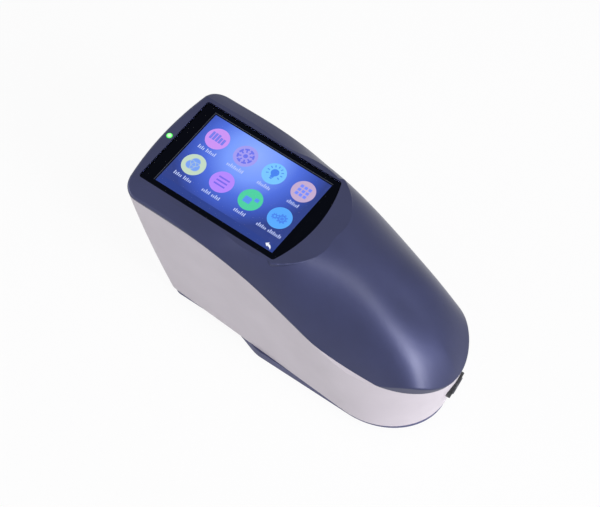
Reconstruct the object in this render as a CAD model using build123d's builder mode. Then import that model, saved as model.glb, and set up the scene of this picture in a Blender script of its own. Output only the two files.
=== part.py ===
"""Handheld colour matching spectrophotometer, as the separate pieces that it comes apart into.

Frame: origin on the bench under the middle of the instrument, +X from the head end to the grip end,
+Z up, millimetres. The head stands over the measuring port and carries the display.
A place along the instrument is given as its distance from the head end.
"""

import os
from math import atan, copysign, cos, degrees, radians, sin, sqrt, tan

from build123d import *

os.makedirs("parts", exist_ok=True)

# Overall size
LENGTH = 183.5
WIDTH = 77.0
HEIGHT = 105.0
HEAD_X = -LENGTH / 2
TAIL_X = LENGTH / 2

# Walls and clearances
WALL = 2.4
FIT_GAP = 0.1
SLIDE_GAP = 0.15
SEAT_GAP = 0.25
RIM_RADIUS = 1.8
CREASE_RADIUS = 0.5

# Leaning side wall, from the bench up to panel height
FLOOR_HEAD_INSET = 12.5
FLOOR_TAIL_INSET = 10.5
HEAD_SIDE_LEAN = 13.9
TAIL_SIDE_LEAN = 6.9
TAIL_SIDE_FLARE = 3.1
FLOOR_HEAD_HALF = WIDTH / 2 - HEAD_SIDE_LEAN
FLOOR_TAIL_HALF = WIDTH / 2 - TAIL_SIDE_LEAN
TOP_TAIL_HALF = WIDTH / 2 + TAIL_SIDE_FLARE
FLOOR_TAIL_RADIUS = 33.5
TOP_TAIL_RADIUS = 81.0
HEAD_BOW_RADIUS = 166.0
HEAD_CORNER_RADIUS = 8.5
HEAD_BULGE = 1.8
SIDE_SAG = 0.8
WIDEST_DROP = 4.0
TAIL_RIM_DROP = 59.8
WIDEST_HEIGHT = HEIGHT - WIDEST_DROP
TAIL_RIM_HEIGHT = HEIGHT - TAIL_RIM_DROP

# Parting line between dark top and pale body: where it starts to fall, then places before the tail end,
# each with its drop below the panel
PARTING_START = (40.0, 5.8)
PARTING_PLACES = ((118.5, 9.1), (91.5, 19.4), (61.5, 37.2), (31.5, 50.1), (-6.5, 62.2))

# Hood sections, evenly spaced: crown rise over the panel, crown half width, then shoulder, flank and skirt
# control points, each as an offset from the half width and a rise over the panel
HOOD_HEAD_REACH = 56.0
HOOD_TAIL_REACH = 0.5
HEAD_SECTION = (2.5, 11.0, (-4.5, 4.0), (-4.1, -3.4), (6.0, -6.6))
HOOD_SECTIONS = (
    *(HEAD_SECTION,) * 5,
    (3.0, 11.0, (-4.5, 6.5), (-2.5, -4.5), (5.5, -17.0)),
    (3.2, 12.0, (-4.5, 18.0), (-2.0, -16.5), (4.5, -31.0)),
    (-1.1, 11.0, (-4.5, 3.3), (-1.8, -32.7), (4.2, -41.6)),
    (-11.0, 10.0, (-7.0, -8.0), (-3.5, -47.0), (1.4, -55.8)),
    (-26.0, 8.0, (-10.5, -22.5), (-9.1, -53.5), (-3.9, -62.3)),
    (-62.0, 5.0, (-20.5, -61.0), (-14.5, -70.0), (-7.5, -75.6)),
)
HOOD_FLOOR = -5.0

# Display: 3.5 inch panel of 3:2 shape under a cover glass with a bowed tail edge
LCD_LENGTH = 79.0
LCD_WIDTH = 53.0
LCD_THICK = 3.0
LCD_INSET = 11.7
DISPLAY_CENTER = LCD_INSET + LCD_LENGTH / 2
DISPLAY_X = HEAD_X + DISPLAY_CENTER
GLASS_HEAD_BORDER = 5.0
GLASS_TAIL_BORDER = 0.5
GLASS_SIDE_BORDER = 1.7
GLASS_HEAD = LCD_LENGTH / 2 + GLASS_HEAD_BORDER
GLASS_TAIL = LCD_LENGTH / 2 + GLASS_TAIL_BORDER
GLASS_BOW = 5.7
GLASS_HALF = LCD_WIDTH / 2 + GLASS_SIDE_BORDER
GLASS_CORNER = 1.6
GLASS_THICK = 1.1
GLASS_SUNK = 0.15
LCD_SHIFT = -0.5
LCD_GAP = 0.75
GLUE_GAP = 0.2
PANEL_TOP = HEIGHT
PANEL_UNDER = PANEL_TOP - WALL
GLASS_UNDER = PANEL_TOP - GLASS_SUNK - GLASS_THICK
LCD_UNDER = GLASS_UNDER - GLUE_GAP - LCD_THICK

# Raised panel tongue round the display
TONGUE_HALF = 30.6
TONGUE_RADIUS = 34.0
TONGUE_OVERLAP = 13.9
TONGUE_CENTER = DISPLAY_CENTER + LCD_LENGTH / 2 - TONGUE_OVERLAP
TONGUE_ROOT = TONGUE_CENTER + 2.5
TONGUE_DRAW = 5.0
TONGUE_EDGE = 0.6

# Small screws
SCREW_RADIUS = 1.0
SCREW_HOLE = 1.05
SCREW_HEAD_RADIUS = 1.9
SCREW_HEAD_HEIGHT = 1.2
BOSS_RADIUS = 2.6
SCREW_GRIP = 2.4

# Display carrier sheet under the display
CARRIER_THICK = 0.8
CARRIER_HALF = 24.0
CARRIER_HEAD = LCD_LENGTH / 2 + 6.7
CARRIER_TAIL = LCD_LENGTH / 2 + 8.0
CARRIER_TRIM = 9.0
CARRIER_UNDER = LCD_UNDER - CARRIER_THICK
CARRIER_SCREW_HEAD = -LCD_LENGTH / 2 - 4.8
CARRIER_SCREW_TAIL = LCD_LENGTH / 2 + 5.0
CARRIER_SCREWS = (
    (CARRIER_SCREW_HEAD, 20.0), (CARRIER_SCREW_HEAD, -20.0),
    (CARRIER_SCREW_TAIL, 17.0), (CARRIER_SCREW_TAIL, -17.0),
)

# Main board under the carrier
STANDOFF_LENGTH = 8.0
BOARD_THICK = 1.6
BOARD_TOP = CARRIER_UNDER - STANDOFF_LENGTH
BOARD_UNDER = BOARD_TOP - BOARD_THICK
BOARD_LENGTH = 84.0
BOARD_WIDTH = 50.0
BOARD_CENTER = 2.0
STANDOFF_RADIUS = 2.2
STANDOFF_PLACES = ((-34.0, 21.0), (-34.0, -21.0), (38.0, 19.0), (38.0, -19.0))

# Chips, radio and buzzer under the main board
CHIP_PLACES = ((-12.0, 8.0), (-12.0, -10.0), (12.0, 10.0))
CHIP_SIZE = 12.0
CHIP_THICK = 1.4
RADIO_PLACE = (14.0, -10.0)
RADIO_SIZE = (18.0, 13.0, 2.2)
BUZZER_PLACE = (-26.0, 0.0)
BUZZER_RADIUS = 4.5
BUZZER_HEIGHT = 3.2
BUZZER_HOLE = 1.0
BOARD_GRIP = 4.0

# Ribbon from the display to the main board
RIBBON_AT = LCD_LENGTH / 2 + 2.5
RIBBON_WIDTH = 16.0
RIBBON_THICK = 0.3
RIBBON_SLOT = 2.4
RIBBON_FOOT = 5.0
CARRIER_WINDOW = 56.0

# Status light on the strip at the head end
STATUS_AT = 3.9
STATUS_RADIUS = 1.65
STATUS_LENGTH = 3.9
STATUS_LED = 2.0
STATUS_LED_HEIGHT = 1.0
STATUS_BOARD_HALF = 5.0
STATUS_BOARD_LENGTH = 9.0
STATUS_BOARD_SHIFT = 3.6

# Bottom tray: foot under the head, flare, and heel under the grip
PAD_PROUD = 0.8
TRAY_BOTTOM = PAD_PROUD
TRAY_TOP = 6.7
TRAY_FLOOR = 2.4
TRAY_FLOOR_TOP = TRAY_BOTTOM + TRAY_FLOOR
FOOT_HEAD = 15.0
FOOT_HALF = FLOOR_HEAD_HALF
FOOT_END = 54.0
HEEL_START = 79.5
HEEL_INSET = 1.4
HEEL_HALF = FLOOR_TAIL_HALF - HEEL_INSET
HEEL_END = LENGTH - 46.5
HEEL_RADIUS = 36.2
FOOT_CORNER = 7.0
LIP_HEIGHT = 2.4
LIP_THICK = 1.4
LIP_ROOT = 2.0
LIP_BREAK = 12.0

# Measuring port
PORT_AT = 39.0
PORT_X = HEAD_X + PORT_AT
PORT_RADIUS = 4.0
PORT_LAND = 1.2
RING_RADIUS = 14.0
RING_BOTTOM = 0.3
RING_NECK = 9.0
RING_TOP = 6.9
RING_RECESS = 1.4
RUN_GAP = 0.06
PORT_MOUTH = 7.0
RING_NOTCHES = 12
RING_NOTCH = 1.2
RING_NOTCH_DEPTH = 1.0
NECK_SHIFT = 7.0
LUG_REACH = 10.3
LUG_WIDTH = 3.0
LUG_TURN = 40.0
SPHERE_INNER = 24.0
SPHERE_OUTER = 26.0
SPHERE_FLAT = 5.5
SPHERE_Z = SPHERE_FLAT + SPHERE_OUTER - 1.0
SPHERE_FOOT = 19.0
SPHERE_FOOT_THICK = 2.5
SPHERE_SCREW_CIRCLE = 16.9
EAR_REACH = 29.0
EAR_ANGLE = 40.0
EAR_RADIUS = 3.4
EAR_THICK = 3.0
NECK_TOP = 58.0
NECK_RADIUS = 11.0
VIEW_TILT = 8.0
VIEW_HOLE = 4.2
TUBE_RADIUS = 5.0
TUBE_DROP = 0.6
LENS_THICK = 2.0

# Lamp on the grip side of the sphere
LAMP_Z = SPHERE_Z + 4.0
LAMP_PORT = 6.0
LAMP_HOLDER = 9.0
LAMP_FACE = 70.0
LAMP_BOARD = 20.0
LED_SIZE = 2.0
LED_THICK = 0.8
LED_PLACES = ((0.0, 0.0), (3.5, 0.0), (-3.5, 0.0), (0.0, 3.5), (0.0, -3.5))
SINK_BASE = 2.0
SINK_DEPTH = 7.5
SINK_FIN = 1.0
SINK_PITCH = 3.0

# Optics deck
DECK_THICK = 2.0
DECK_TOP = NECK_TOP + DECK_THICK
DECK_HEAD = 27.0
DECK_TAIL = 109.0
DECK_HALF = 21.5
DECK_FLANGE = 5.0
POST_RADIUS = 3.0
POST_AT = 80.0
POST_HALF = 19.0
POST_PAD = 2.0

# Fold mirror block and spectrometer
FOLD_AT = 49.0
FOLD_LENGTH = 14.0
FOLD_HALF = 8.0
FOLD_HEIGHT = 20.0
AXIS_HEIGHT = 12.0
CAMERA_SIZE = 9.0
CAMERA_HEIGHT = 5.0
BOX_HEAD = FOLD_AT + FOLD_LENGTH / 2 + FIT_GAP
BOX_LENGTH = 46.0
BOX_HALF = 16.8
BOX_HEIGHT = 22.0
BOX_WALL = 2.0
SLIT_RADIUS = 2.5
LID_THICK = 2.0
SENSOR_Y = 9.5
SENSOR_WIDTH = 10.0
SENSOR_HEIGHT = 18.0
SENSOR_CHIP = 1.5
GRATING_HALF = 8.0
GRATING_THICK = 6.0
GRATING_CURVE = 60.0

# Battery in the grip
CELL_RADIUS = 9.2
CELL_LENGTH = 65.0
CELL_HEAD = 88.0
CRADLE_FLOOR = 1.5
CRADLE_WALL = 1.6
CRADLE_HEIGHT = 9.0
STRAP_WIDTH = 12.0
STRAP_THICK = 0.6

# Port board with the charging socket and the power switch, on the far side
SIDE_BOARD_HEAD = 110.0
SIDE_BOARD_LENGTH = 34.0
SIDE_BOARD_HEIGHT = 30.0
SIDE_BOARD_INSET = 9.0
SIDE_BOARD_Y = FLOOR_TAIL_HALF - SIDE_BOARD_INSET
SOCKET_AT = 119.0
SOCKET_Z = 16.0
SOCKET_WIDTH = 8.94
SOCKET_HEIGHT = 3.26
SOCKET_WALL = 0.3
SOCKET_DEPTH = 7.4
SOCKET_BACK = 1.0
TONGUE_THICK = 0.7
SWITCH_AT = 135.0
SWITCH_Z = 22.0
SWITCH_BODY = (9.0, 4.0, 4.0)
KNOB_LENGTH = 4.0
KNOB_HEIGHT = 2.4
KNOB_FACE = FLOOR_TAIL_HALF + 3.1
KNOB_TRAVEL = 3.0

# Measure button on the tail wall
BUTTON_DROP = 16.2
BUTTON_Z = TAIL_RIM_HEIGHT - BUTTON_DROP
BUTTON_Y = 3.5
BUTTON_TURN = 8.0
BUTTON_RADIUS = 5.0
BUTTON_PROUD = 2.0
BUTTON_TRAVEL = 0.6
BUTTON_FLANGE = 6.1
BEZEL_RADIUS = 7.5
BEZEL_PROUD = 1.4
BEZEL_DEPTH = 8.5
BEZEL_FLANGE = 9.6
BEZEL_LIP = 4.0
BEZEL_SEAT = 4.9
BEZEL_RIDGE = 0.35
BUTTON_RIM = 1.0
SWITCH_SIZE = 6.0
PLUNGER_HEIGHT = 0.8
CHARGE_SIDE = -8.9
CHARGE_RADIUS = 0.7
CHARGE_DEPTH = 4.6
CHARGE_SUNK = 1.9
BEZEL_RIDGES = 24
BEZEL_RIDGE_DEPTH = 1.2

# Rubber pads and tray screws
PAD_RADIUS = 3.5
PAD_THICK = 1.6
TAIL_PLACE = LENGTH - 33.5
TAIL_SCREW = LENGTH - 17.5
PAD_PLACES = ((22.6, 18.4), (22.6, -18.4), (TAIL_PLACE, 17.0), (TAIL_PLACE, -17.0))
TRAY_SCREWS = ((59.0, 19.4), (59.0, -19.4), (98.0, 24.2), (98.0, -24.2), (TAIL_SCREW, 0.0))
TRAY_BOSS_RADIUS = 3.2
TRAY_BOSS_HEIGHT = 8.0
TRAY_SCREW_HEAD = 2.2
TRAY_GRIP = 4.0
HEAD_SINK = SCREW_HEAD_HEIGHT + 0.3

# Posts that join the top to the body
HEAD_POST_INSET = 8.3
HEAD_POST_HALF = WIDTH / 2 - HEAD_POST_INSET
HEAD_POSTS = ((16.0, HEAD_POST_HALF), (16.0, -HEAD_POST_HALF))
TAIL_POSTS = ((TAIL_PLACE, 17.0), (TAIL_PLACE, -17.0))
CASE_POST_RADIUS = 3.0
HEAD_SHELF_DROP = 17.0
TAIL_SHELF_DROP = 55.0
HEAD_SHELF_TOP = HEIGHT - HEAD_SHELF_DROP
TAIL_SHELF_TOP = HEIGHT - TAIL_SHELF_DROP
SHELF_THICK = 3.5
SHELF_SHIFT = 2.0
HEAD_SHELF_LENGTH = 12.0
HEAD_SHELF_WIDTH = 10.0
TAIL_SHELF_LENGTH = 9.0
TAIL_SHELF_WIDTH = 20.0
POST_HOLE = 7.0
CASE_GRIP = 5.0
BOSS_RIB = 8.0
BOSS_RIB_THICK = 2.0


def along(distance):
    """X of a place given by its distance from the head end."""
    return HEAD_X + distance


def mix(low, high, share):
    return low + (high - low) * share


def save(piece, name):
    piece.part.label = name
    export_step(piece.part, f"parts/{name}.step")


# Housing form
def housing_outline(level, inset):
    """Plan outline of the leaning wall at a height, drawn in by a wall thickness."""
    lean = level / HEIGHT
    bulge = HEAD_BULGE * 4 * lean * (1 - lean)
    head_x = HEAD_X + FLOOR_HEAD_INSET * (1 - lean) - bulge + inset
    apex_x = TAIL_X - FLOOR_TAIL_INSET + FLOOR_TAIL_INSET * level / TAIL_RIM_HEIGHT - inset
    top_head_half = mix(FLOOR_HEAD_HALF, WIDTH / 2, HEIGHT / WIDEST_HEIGHT)
    head_half = mix(FLOOR_HEAD_HALF, top_head_half, lean) - inset
    tail_half = mix(FLOOR_TAIL_HALF, TOP_TAIL_HALF, lean) - inset
    tail_radius = mix(FLOOR_TAIL_RADIUS, TOP_TAIL_RADIUS, lean) - inset
    tail_center = apex_x - tail_radius
    bow = HEAD_BOW_RADIUS - sqrt(HEAD_BOW_RADIUS**2 - head_half**2)
    corner_x = head_x + bow
    sag = SIDE_SAG * mix(0.05, 1, lean)
    end_slope = (tail_half - head_half + 4 * sag) / (tail_center - corner_x)
    sweep = 90 + degrees(atan(end_slope * tail_radius / tail_half))
    join_x = tail_center + tail_radius * cos(radians(sweep))
    join_y = tail_half * sin(radians(sweep))
    middle_x = (corner_x + join_x) / 2
    middle_y = (head_half + join_y) / 2 - sag
    with BuildSketch(Plane.XY.offset(level)) as outline:
        with BuildLine():
            ThreePointArc((corner_x, head_half), (head_x, 0), (corner_x, -head_half))
            ThreePointArc((corner_x, -head_half), (middle_x, -middle_y), (join_x, -join_y))
            EllipticalCenterArc(
                (tail_center, 0), tail_radius, tail_half, start_angle=-sweep, arc_size=2 * sweep
            )
            ThreePointArc((join_x, join_y), (middle_x, middle_y), (corner_x, head_half))
        make_face()
        fillet(outline.vertices().group_by(Axis.X)[0], HEAD_CORNER_RADIUS - inset)
    return outline.sketch


def hood_section(distance, section, inset):
    """Cross section of the hood: two Bezier halves that meet level at the crown."""
    crown_rise, crown_half, *sides = section
    spread = (WIDTH / 2 - inset) / (WIDTH / 2)
    shoulder, flank, skirt = [(WIDTH / 2 + offset, round(HEIGHT + rise, 3)) for offset, rise in sides]
    crown = HEIGHT + crown_rise
    right = [(y * spread, z - inset) for y, z in (skirt, flank, shoulder, (crown_half, crown), (0, crown))]
    left = [(-y, z) for y, z in reversed(right)]
    skirt_half = right[0][0]
    with BuildSketch(Plane.YZ.offset(along(distance))) as section:
        with BuildLine():
            Bezier(*right)
            Bezier(*left)
            Polyline(left[-1], (-skirt_half, HOOD_FLOOR), (skirt_half, HOOD_FLOOR), right[0])
        make_face()
    return section.sketch


def hood_form(inset):
    step = (LENGTH + HOOD_TAIL_REACH + HOOD_HEAD_REACH) / (len(HOOD_SECTIONS) - 1)
    with BuildPart() as hood:
        for count, section in enumerate(HOOD_SECTIONS):
            add(hood_section(count * step - HOOD_HEAD_REACH, section, inset))
        loft()
    return hood.part


def wall_form(low, high, inset):
    """Solid inside the leaning wall between two heights."""
    with BuildPart() as walls:
        for level in (low, (low + high) / 2, high):
            add(housing_outline(level, inset))
        loft()
    return walls.part


def housing_form(inset, floor):
    """Solid of the closed housing, drawn in by a wall thickness."""
    hood = hood_form(inset)
    with BuildPart() as form:
        add(wall_form(0, HEIGHT, inset))
        add(hood, mode=Mode.INTERSECT)
        with BuildSketch(Plane.XY.offset(floor)):
            Rectangle(2 * LENGTH, 2 * WIDTH)
        extrude(amount=HEIGHT - inset - floor, mode=Mode.INTERSECT)
    return form.part


def rounded_housing():
    """The closed housing with the flat panel's crease eased and its upper rim rounded."""
    with BuildPart() as form:
        add(housing_form(0, 0))
        level = form.edges().filter_by(lambda edge: edge.bounding_box().min.Z > HEIGHT - 0.01)
        fillet(level.sort_by(SortBy.LENGTH)[-1], CREASE_RADIUS)
        upper = form.edges().filter_by(lambda edge: edge.bounding_box().min.Z > TAIL_RIM_HEIGHT - 1)
        fillet(upper.sort_by(SortBy.LENGTH)[:-2], RIM_RADIUS)
    return form.part


def parting_block():
    """Everything above the parting line."""
    points = [(along(PARTING_START[0]), HEIGHT - PARTING_START[1])]
    points += [(TAIL_X - distance, HEIGHT - drop) for distance, drop in PARTING_PLACES]
    start = (HEAD_X - WALL * 4, points[0][1])
    ceiling = HEIGHT * 1.2
    with BuildPart() as block:
        with BuildSketch(Plane.XZ):
            with BuildLine():
                Line(start, points[0])
                Spline(*points, tangents=[(1, 0), (3, -1)])
                Polyline(points[-1], (points[-1][0], ceiling), (start[0], ceiling), start)
            make_face()
        extrude(amount=WIDTH, both=True)
    return block.part


OUTER = rounded_housing()
INNER = housing_form(WALL, HOOD_FLOOR)
ABOVE = parting_block()
BASE = (Align.CENTER, Align.CENTER, Align.MIN)
TOP = (Align.CENTER, Align.CENTER, Align.MAX)
FORWARD = (Align.MIN, Align.CENTER, Align.CENTER)


def tail_wall_x(side, level):
    """X of the outer tail wall at a side offset and a height."""
    lean = level / HEIGHT
    apex_x = TAIL_X - FLOOR_TAIL_INSET + FLOOR_TAIL_INSET * level / TAIL_RIM_HEIGHT
    tail_radius = mix(FLOOR_TAIL_RADIUS, TOP_TAIL_RADIUS, lean)
    tail_half = mix(FLOOR_TAIL_HALF, TOP_TAIL_HALF, lean)
    return apex_x - tail_radius * (1 - sqrt(1 - (side / tail_half)**2))


BUTTON_SLOPE = tan(radians(BUTTON_TURN))
BUTTON_PLANE = Plane(
    origin=(tail_wall_x(BUTTON_Y, BUTTON_Z), BUTTON_Y, BUTTON_Z),
    x_dir=(-BUTTON_SLOPE, 1, 0),
    z_dir=(TAIL_RIM_HEIGHT, TAIL_RIM_HEIGHT * BUTTON_SLOPE, -FLOOR_TAIL_INSET),
)
VIEW_AXIS = (sin(radians(VIEW_TILT)), 0, cos(radians(VIEW_TILT)))
VIEW_PLANE = Plane(origin=(PORT_X, 0, 0), x_dir=(0, 1, 0), z_dir=VIEW_AXIS)


def places(points, level, origin=HEAD_X):
    """Places given as distance and side offset, at one height."""
    return [(origin + x, y, level) for x, y in points]


# Top shell: hood, display panel, and the posts and bosses that hold it
def glass_outline(gap):
    """Cover glass outline: square head end, bowed tail end."""
    head = DISPLAY_X - GLASS_HEAD - gap
    tail = DISPLAY_X + GLASS_TAIL + gap
    half = GLASS_HALF + gap
    with BuildSketch() as outline:
        with BuildLine():
            Polyline((tail, half), (head, half), (head, -half), (tail, -half))
            ThreePointArc((tail, -half), (tail + GLASS_BOW, 0), (tail, half))
        make_face()
        fillet(outline.vertices(), GLASS_CORNER + gap)
    return outline.sketch


# Raised end of the display panel: a round tongue towards the grip
with BuildPart() as tongue:
    root_x = along(TONGUE_CENTER) + sqrt(TONGUE_RADIUS**2 - TONGUE_HALF**2)
    tip_x = along(TONGUE_CENTER) + TONGUE_RADIUS
    with BuildSketch(Plane.XY.offset(PANEL_UNDER)):
        with BuildLine():
            ThreePointArc((root_x, -TONGUE_HALF), (tip_x, 0), (root_x, TONGUE_HALF))
            Polyline(
                (root_x, TONGUE_HALF), (along(TONGUE_ROOT), TONGUE_HALF - TONGUE_DRAW),
                (along(TONGUE_ROOT), TONGUE_DRAW - TONGUE_HALF), (root_x, -TONGUE_HALF),
            )
        make_face()
    extrude(amount=PANEL_TOP - PANEL_UNDER)
    fillet(tongue.faces().sort_by(Axis.Z)[-1].edges().filter_by(GeomType.CIRCLE), TONGUE_EDGE)

with BuildPart() as top_shell:
    add(OUTER)
    add(ABOVE, mode=Mode.INTERSECT)
    add(tongue.part)
    add(INNER, mode=Mode.SUBTRACT)
    with Locations(*places(HEAD_POSTS, HEAD_SHELF_TOP)):
        Cylinder(CASE_POST_RADIUS, PANEL_UNDER - HEAD_SHELF_TOP + FIT_GAP, align=BASE)
    with Locations(*places(CARRIER_SCREWS, LCD_UNDER, DISPLAY_X)):
        Cylinder(BOSS_RADIUS, PANEL_UNDER - LCD_UNDER + FIT_GAP, align=BASE)
    with BuildSketch(Plane.XY.offset(TAIL_SHELF_TOP)):
        with Locations(*[(along(x), y) for x, y in TAIL_POSTS]):
            Circle(CASE_POST_RADIUS)
    extrude(until=Until.NEXT, target=top_shell.part)
    with BuildSketch(Plane.XY.offset(GLASS_UNDER)):
        add(glass_outline(FIT_GAP))
    extrude(amount=WALL, mode=Mode.SUBTRACT)
    with BuildSketch(Plane.XY.offset(LCD_UNDER - FIT_GAP)):
        with Locations((DISPLAY_X + LCD_SHIFT, 0)):
            Rectangle(LCD_LENGTH + 2 * LCD_GAP, LCD_WIDTH + 2 * LCD_GAP)
    extrude(amount=PANEL_TOP - LCD_UNDER, mode=Mode.SUBTRACT)
    with Locations((along(STATUS_AT), 0, PANEL_TOP)):
        Cylinder(STATUS_RADIUS + FIT_GAP, 4 * WALL, mode=Mode.SUBTRACT)
    with Locations(*places(CARRIER_SCREWS, LCD_UNDER, DISPLAY_X)):
        Cylinder(SCREW_HOLE, SCREW_GRIP + FIT_GAP, align=BASE, mode=Mode.SUBTRACT)
    with Locations(*places(HEAD_POSTS, HEAD_SHELF_TOP)):
        Cylinder(SCREW_HOLE, POST_HOLE, align=BASE, mode=Mode.SUBTRACT)
    with Locations(*places(TAIL_POSTS, TAIL_SHELF_TOP)):
        Cylinder(SCREW_HOLE, POST_HOLE, align=BASE, mode=Mode.SUBTRACT)
save(top_shell, "top_shell")

# Pale body shell with its shelves, tray bosses and openings
with BuildPart() as body_shell:
    add(OUTER)
    add(ABOVE, mode=Mode.SUBTRACT)
    add(INNER, mode=Mode.SUBTRACT)
    with BuildSketch(Plane.XY.offset(HEAD_SHELF_TOP - SHELF_THICK)):
        for x, y in HEAD_POSTS:
            with Locations((along(x) - SHELF_SHIFT, y + copysign(SHELF_SHIFT, y))):
                Rectangle(HEAD_SHELF_LENGTH, HEAD_SHELF_WIDTH)
    extrude(amount=SHELF_THICK)
    with BuildSketch(Plane.XY.offset(TAIL_SHELF_TOP - SHELF_THICK)):
        for x, y in TAIL_POSTS:
            with Locations((along(x), y + copysign(3 * SHELF_SHIFT, y))):
                Rectangle(TAIL_SHELF_LENGTH, TAIL_SHELF_WIDTH)
    extrude(amount=SHELF_THICK)
    with BuildSketch(Plane.XY.offset(TRAY_TOP)):
        for x, y in TRAY_SCREWS:
            with Locations((along(x), y)):
                Circle(TRAY_BOSS_RADIUS)
            if y:
                with Locations((along(x), y + copysign(BOSS_RIB / 2, y))):
                    Rectangle(BOSS_RIB_THICK, BOSS_RIB)
            else:
                with Locations((along(x) + BOSS_RIB / 2, 0)):
                    Rectangle(BOSS_RIB, BOSS_RIB_THICK)
    extrude(amount=TRAY_BOSS_HEIGHT)
    add(OUTER, mode=Mode.INTERSECT)
    with BuildSketch(Plane.XY):
        Rectangle(2 * LENGTH, 2 * WIDTH)
    extrude(amount=TRAY_TOP, mode=Mode.SUBTRACT)
    with Locations(*places(TRAY_SCREWS, TRAY_TOP)):
        Cylinder(SCREW_HOLE, TRAY_BOSS_HEIGHT - 1, align=BASE, mode=Mode.SUBTRACT)
    with Locations(*places(HEAD_POSTS, HEAD_SHELF_TOP), *places(TAIL_POSTS, TAIL_SHELF_TOP)):
        Cylinder(SCREW_HOLE, 3 * SHELF_THICK, mode=Mode.SUBTRACT)
    with BuildSketch(BUTTON_PLANE):
        Circle(BEZEL_RADIUS + FIT_GAP)
        with Locations((CHARGE_SIDE, 0)):
            Circle(CHARGE_RADIUS + RUN_GAP)
    extrude(amount=BEZEL_DEPTH, both=True, mode=Mode.SUBTRACT)
    with BuildSketch(Plane.XZ.offset(-SIDE_BOARD_Y - BOARD_THICK)):
        with Locations((along(SOCKET_AT), SOCKET_Z)):
            SlotOverall(SOCKET_WIDTH + 4 * FIT_GAP, SOCKET_HEIGHT + 4 * FIT_GAP)
        with Locations((along(SWITCH_AT), SWITCH_Z)):
            Rectangle(KNOB_LENGTH + KNOB_TRAVEL + 4 * FIT_GAP, KNOB_HEIGHT + 4 * FIT_GAP)
    extrude(amount=-WIDTH, mode=Mode.SUBTRACT)
save(body_shell, "body_shell")


# Bottom tray with the foot, the flare and the heel
def tray_outline(inset):
    foot_head = along(FOOT_HEAD) + inset
    foot = FOOT_HALF - inset
    heel = HEEL_HALF - inset
    foot_end = (along(FOOT_END), foot)
    heel_start = (along(HEEL_START), heel)
    heel_end = along(HEEL_END)
    with BuildSketch() as outline:
        with BuildLine():
            Line((foot_head, foot), foot_end)
            Spline(foot_end, heel_start, tangents=[(1, 0), (1, 0)], tangent_scalars=(1.2, 0.8))
            Line(heel_start, (heel_end, heel))
            EllipticalCenterArc(
                (heel_end, 0), HEEL_RADIUS - inset, heel, start_angle=-90, arc_size=180
            )
            Line((heel_end, -heel), (heel_start[0], -heel))
            Spline(
                (heel_start[0], -heel), (foot_end[0], -foot),
                tangents=[(-1, 0), (-1, 0)], tangent_scalars=(0.8, 1.2),
            )
            Line((foot_end[0], -foot), (foot_head, -foot))
            Line((foot_head, -foot), (foot_head, foot))
        make_face()
        fillet(outline.vertices().group_by(Axis.X)[0], FOOT_CORNER - inset)
    return outline.sketch


with BuildPart() as bottom_tray:
    with BuildSketch(Plane.XY.offset(TRAY_BOTTOM)):
        add(tray_outline(0))
    extrude(amount=TRAY_TOP - TRAY_BOTTOM)
    chamfer(bottom_tray.faces().sort_by(Axis.Z)[0].outer_wire().edges(), 0.6)
    with BuildSketch(Plane.XY.offset(TRAY_FLOOR_TOP)):
        add(housing_outline(TRAY_TOP, WALL + FIT_GAP + LIP_THICK))
    extrude(amount=TRAY_TOP, mode=Mode.SUBTRACT)
    lip_outer = housing_outline(TRAY_TOP, WALL + FIT_GAP)
    lip_inner = housing_outline(TRAY_TOP, WALL + FIT_GAP + LIP_THICK)
    with BuildSketch(Plane.XY.offset(TRAY_TOP - LIP_ROOT)):
        add(Plane.XY.offset(-TRAY_TOP) * lip_outer)
        add(Plane.XY.offset(-TRAY_TOP) * lip_inner, mode=Mode.SUBTRACT)
        add(tray_outline(SEAT_GAP), mode=Mode.INTERSECT)
        for x, y in TRAY_SCREWS:
            with Locations((along(x) + (0 if y else LIP_BREAK / 2), 1.2 * y)):
                Rectangle(2 * TRAY_BOSS_RADIUS + (2 if y else LIP_BREAK), LIP_BREAK, mode=Mode.SUBTRACT)
    extrude(amount=LIP_HEIGHT + LIP_ROOT)
    with Locations((PORT_X, 0, TRAY_FLOOR_TOP)):
        Cylinder(SPHERE_FOOT + 1, SPHERE_FLAT - TRAY_FLOOR_TOP, align=BASE)
    with Locations(*places(TRAY_SCREWS, TRAY_FLOOR_TOP)):
        Cylinder(TRAY_BOSS_RADIUS, TRAY_TOP - TRAY_FLOOR_TOP, align=BASE)
    with Locations(*places([(POST_AT, POST_HALF), (POST_AT, -POST_HALF)], TRAY_FLOOR_TOP)):
        Cylinder(POST_RADIUS + 1, POST_PAD, align=BASE)
    with Locations((PORT_X, 0, TRAY_BOTTOM)):
        Cylinder(RING_RADIUS + SLIDE_GAP, RING_RECESS, align=BASE, mode=Mode.SUBTRACT)
        Cylinder(RING_NECK + RUN_GAP, SPHERE_FLAT, align=BASE, mode=Mode.SUBTRACT)
    with BuildSketch(Plane.XY.offset(TRAY_BOTTOM)):
        with Locations((PORT_X, 0)):
            with PolarLocations(0, 2, start_angle=LUG_TURN):
                Rectangle(2 * LUG_REACH + 4 * FIT_GAP, LUG_WIDTH + 4 * FIT_GAP)
    extrude(amount=SPHERE_FLAT, mode=Mode.SUBTRACT)
    with Locations(*places(PAD_PLACES, TRAY_BOTTOM)):
        Cylinder(PAD_RADIUS + FIT_GAP, PAD_THICK - PAD_PROUD, align=BASE, mode=Mode.SUBTRACT)
    with Locations(*places(TRAY_SCREWS, TRAY_BOTTOM)):
        Cylinder(SCREW_HOLE, WIDTH, align=BASE, mode=Mode.SUBTRACT)
        Cylinder(TRAY_SCREW_HEAD + FIT_GAP, HEAD_SINK, align=BASE, mode=Mode.SUBTRACT)
save(bottom_tray, "bottom_tray")

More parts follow.
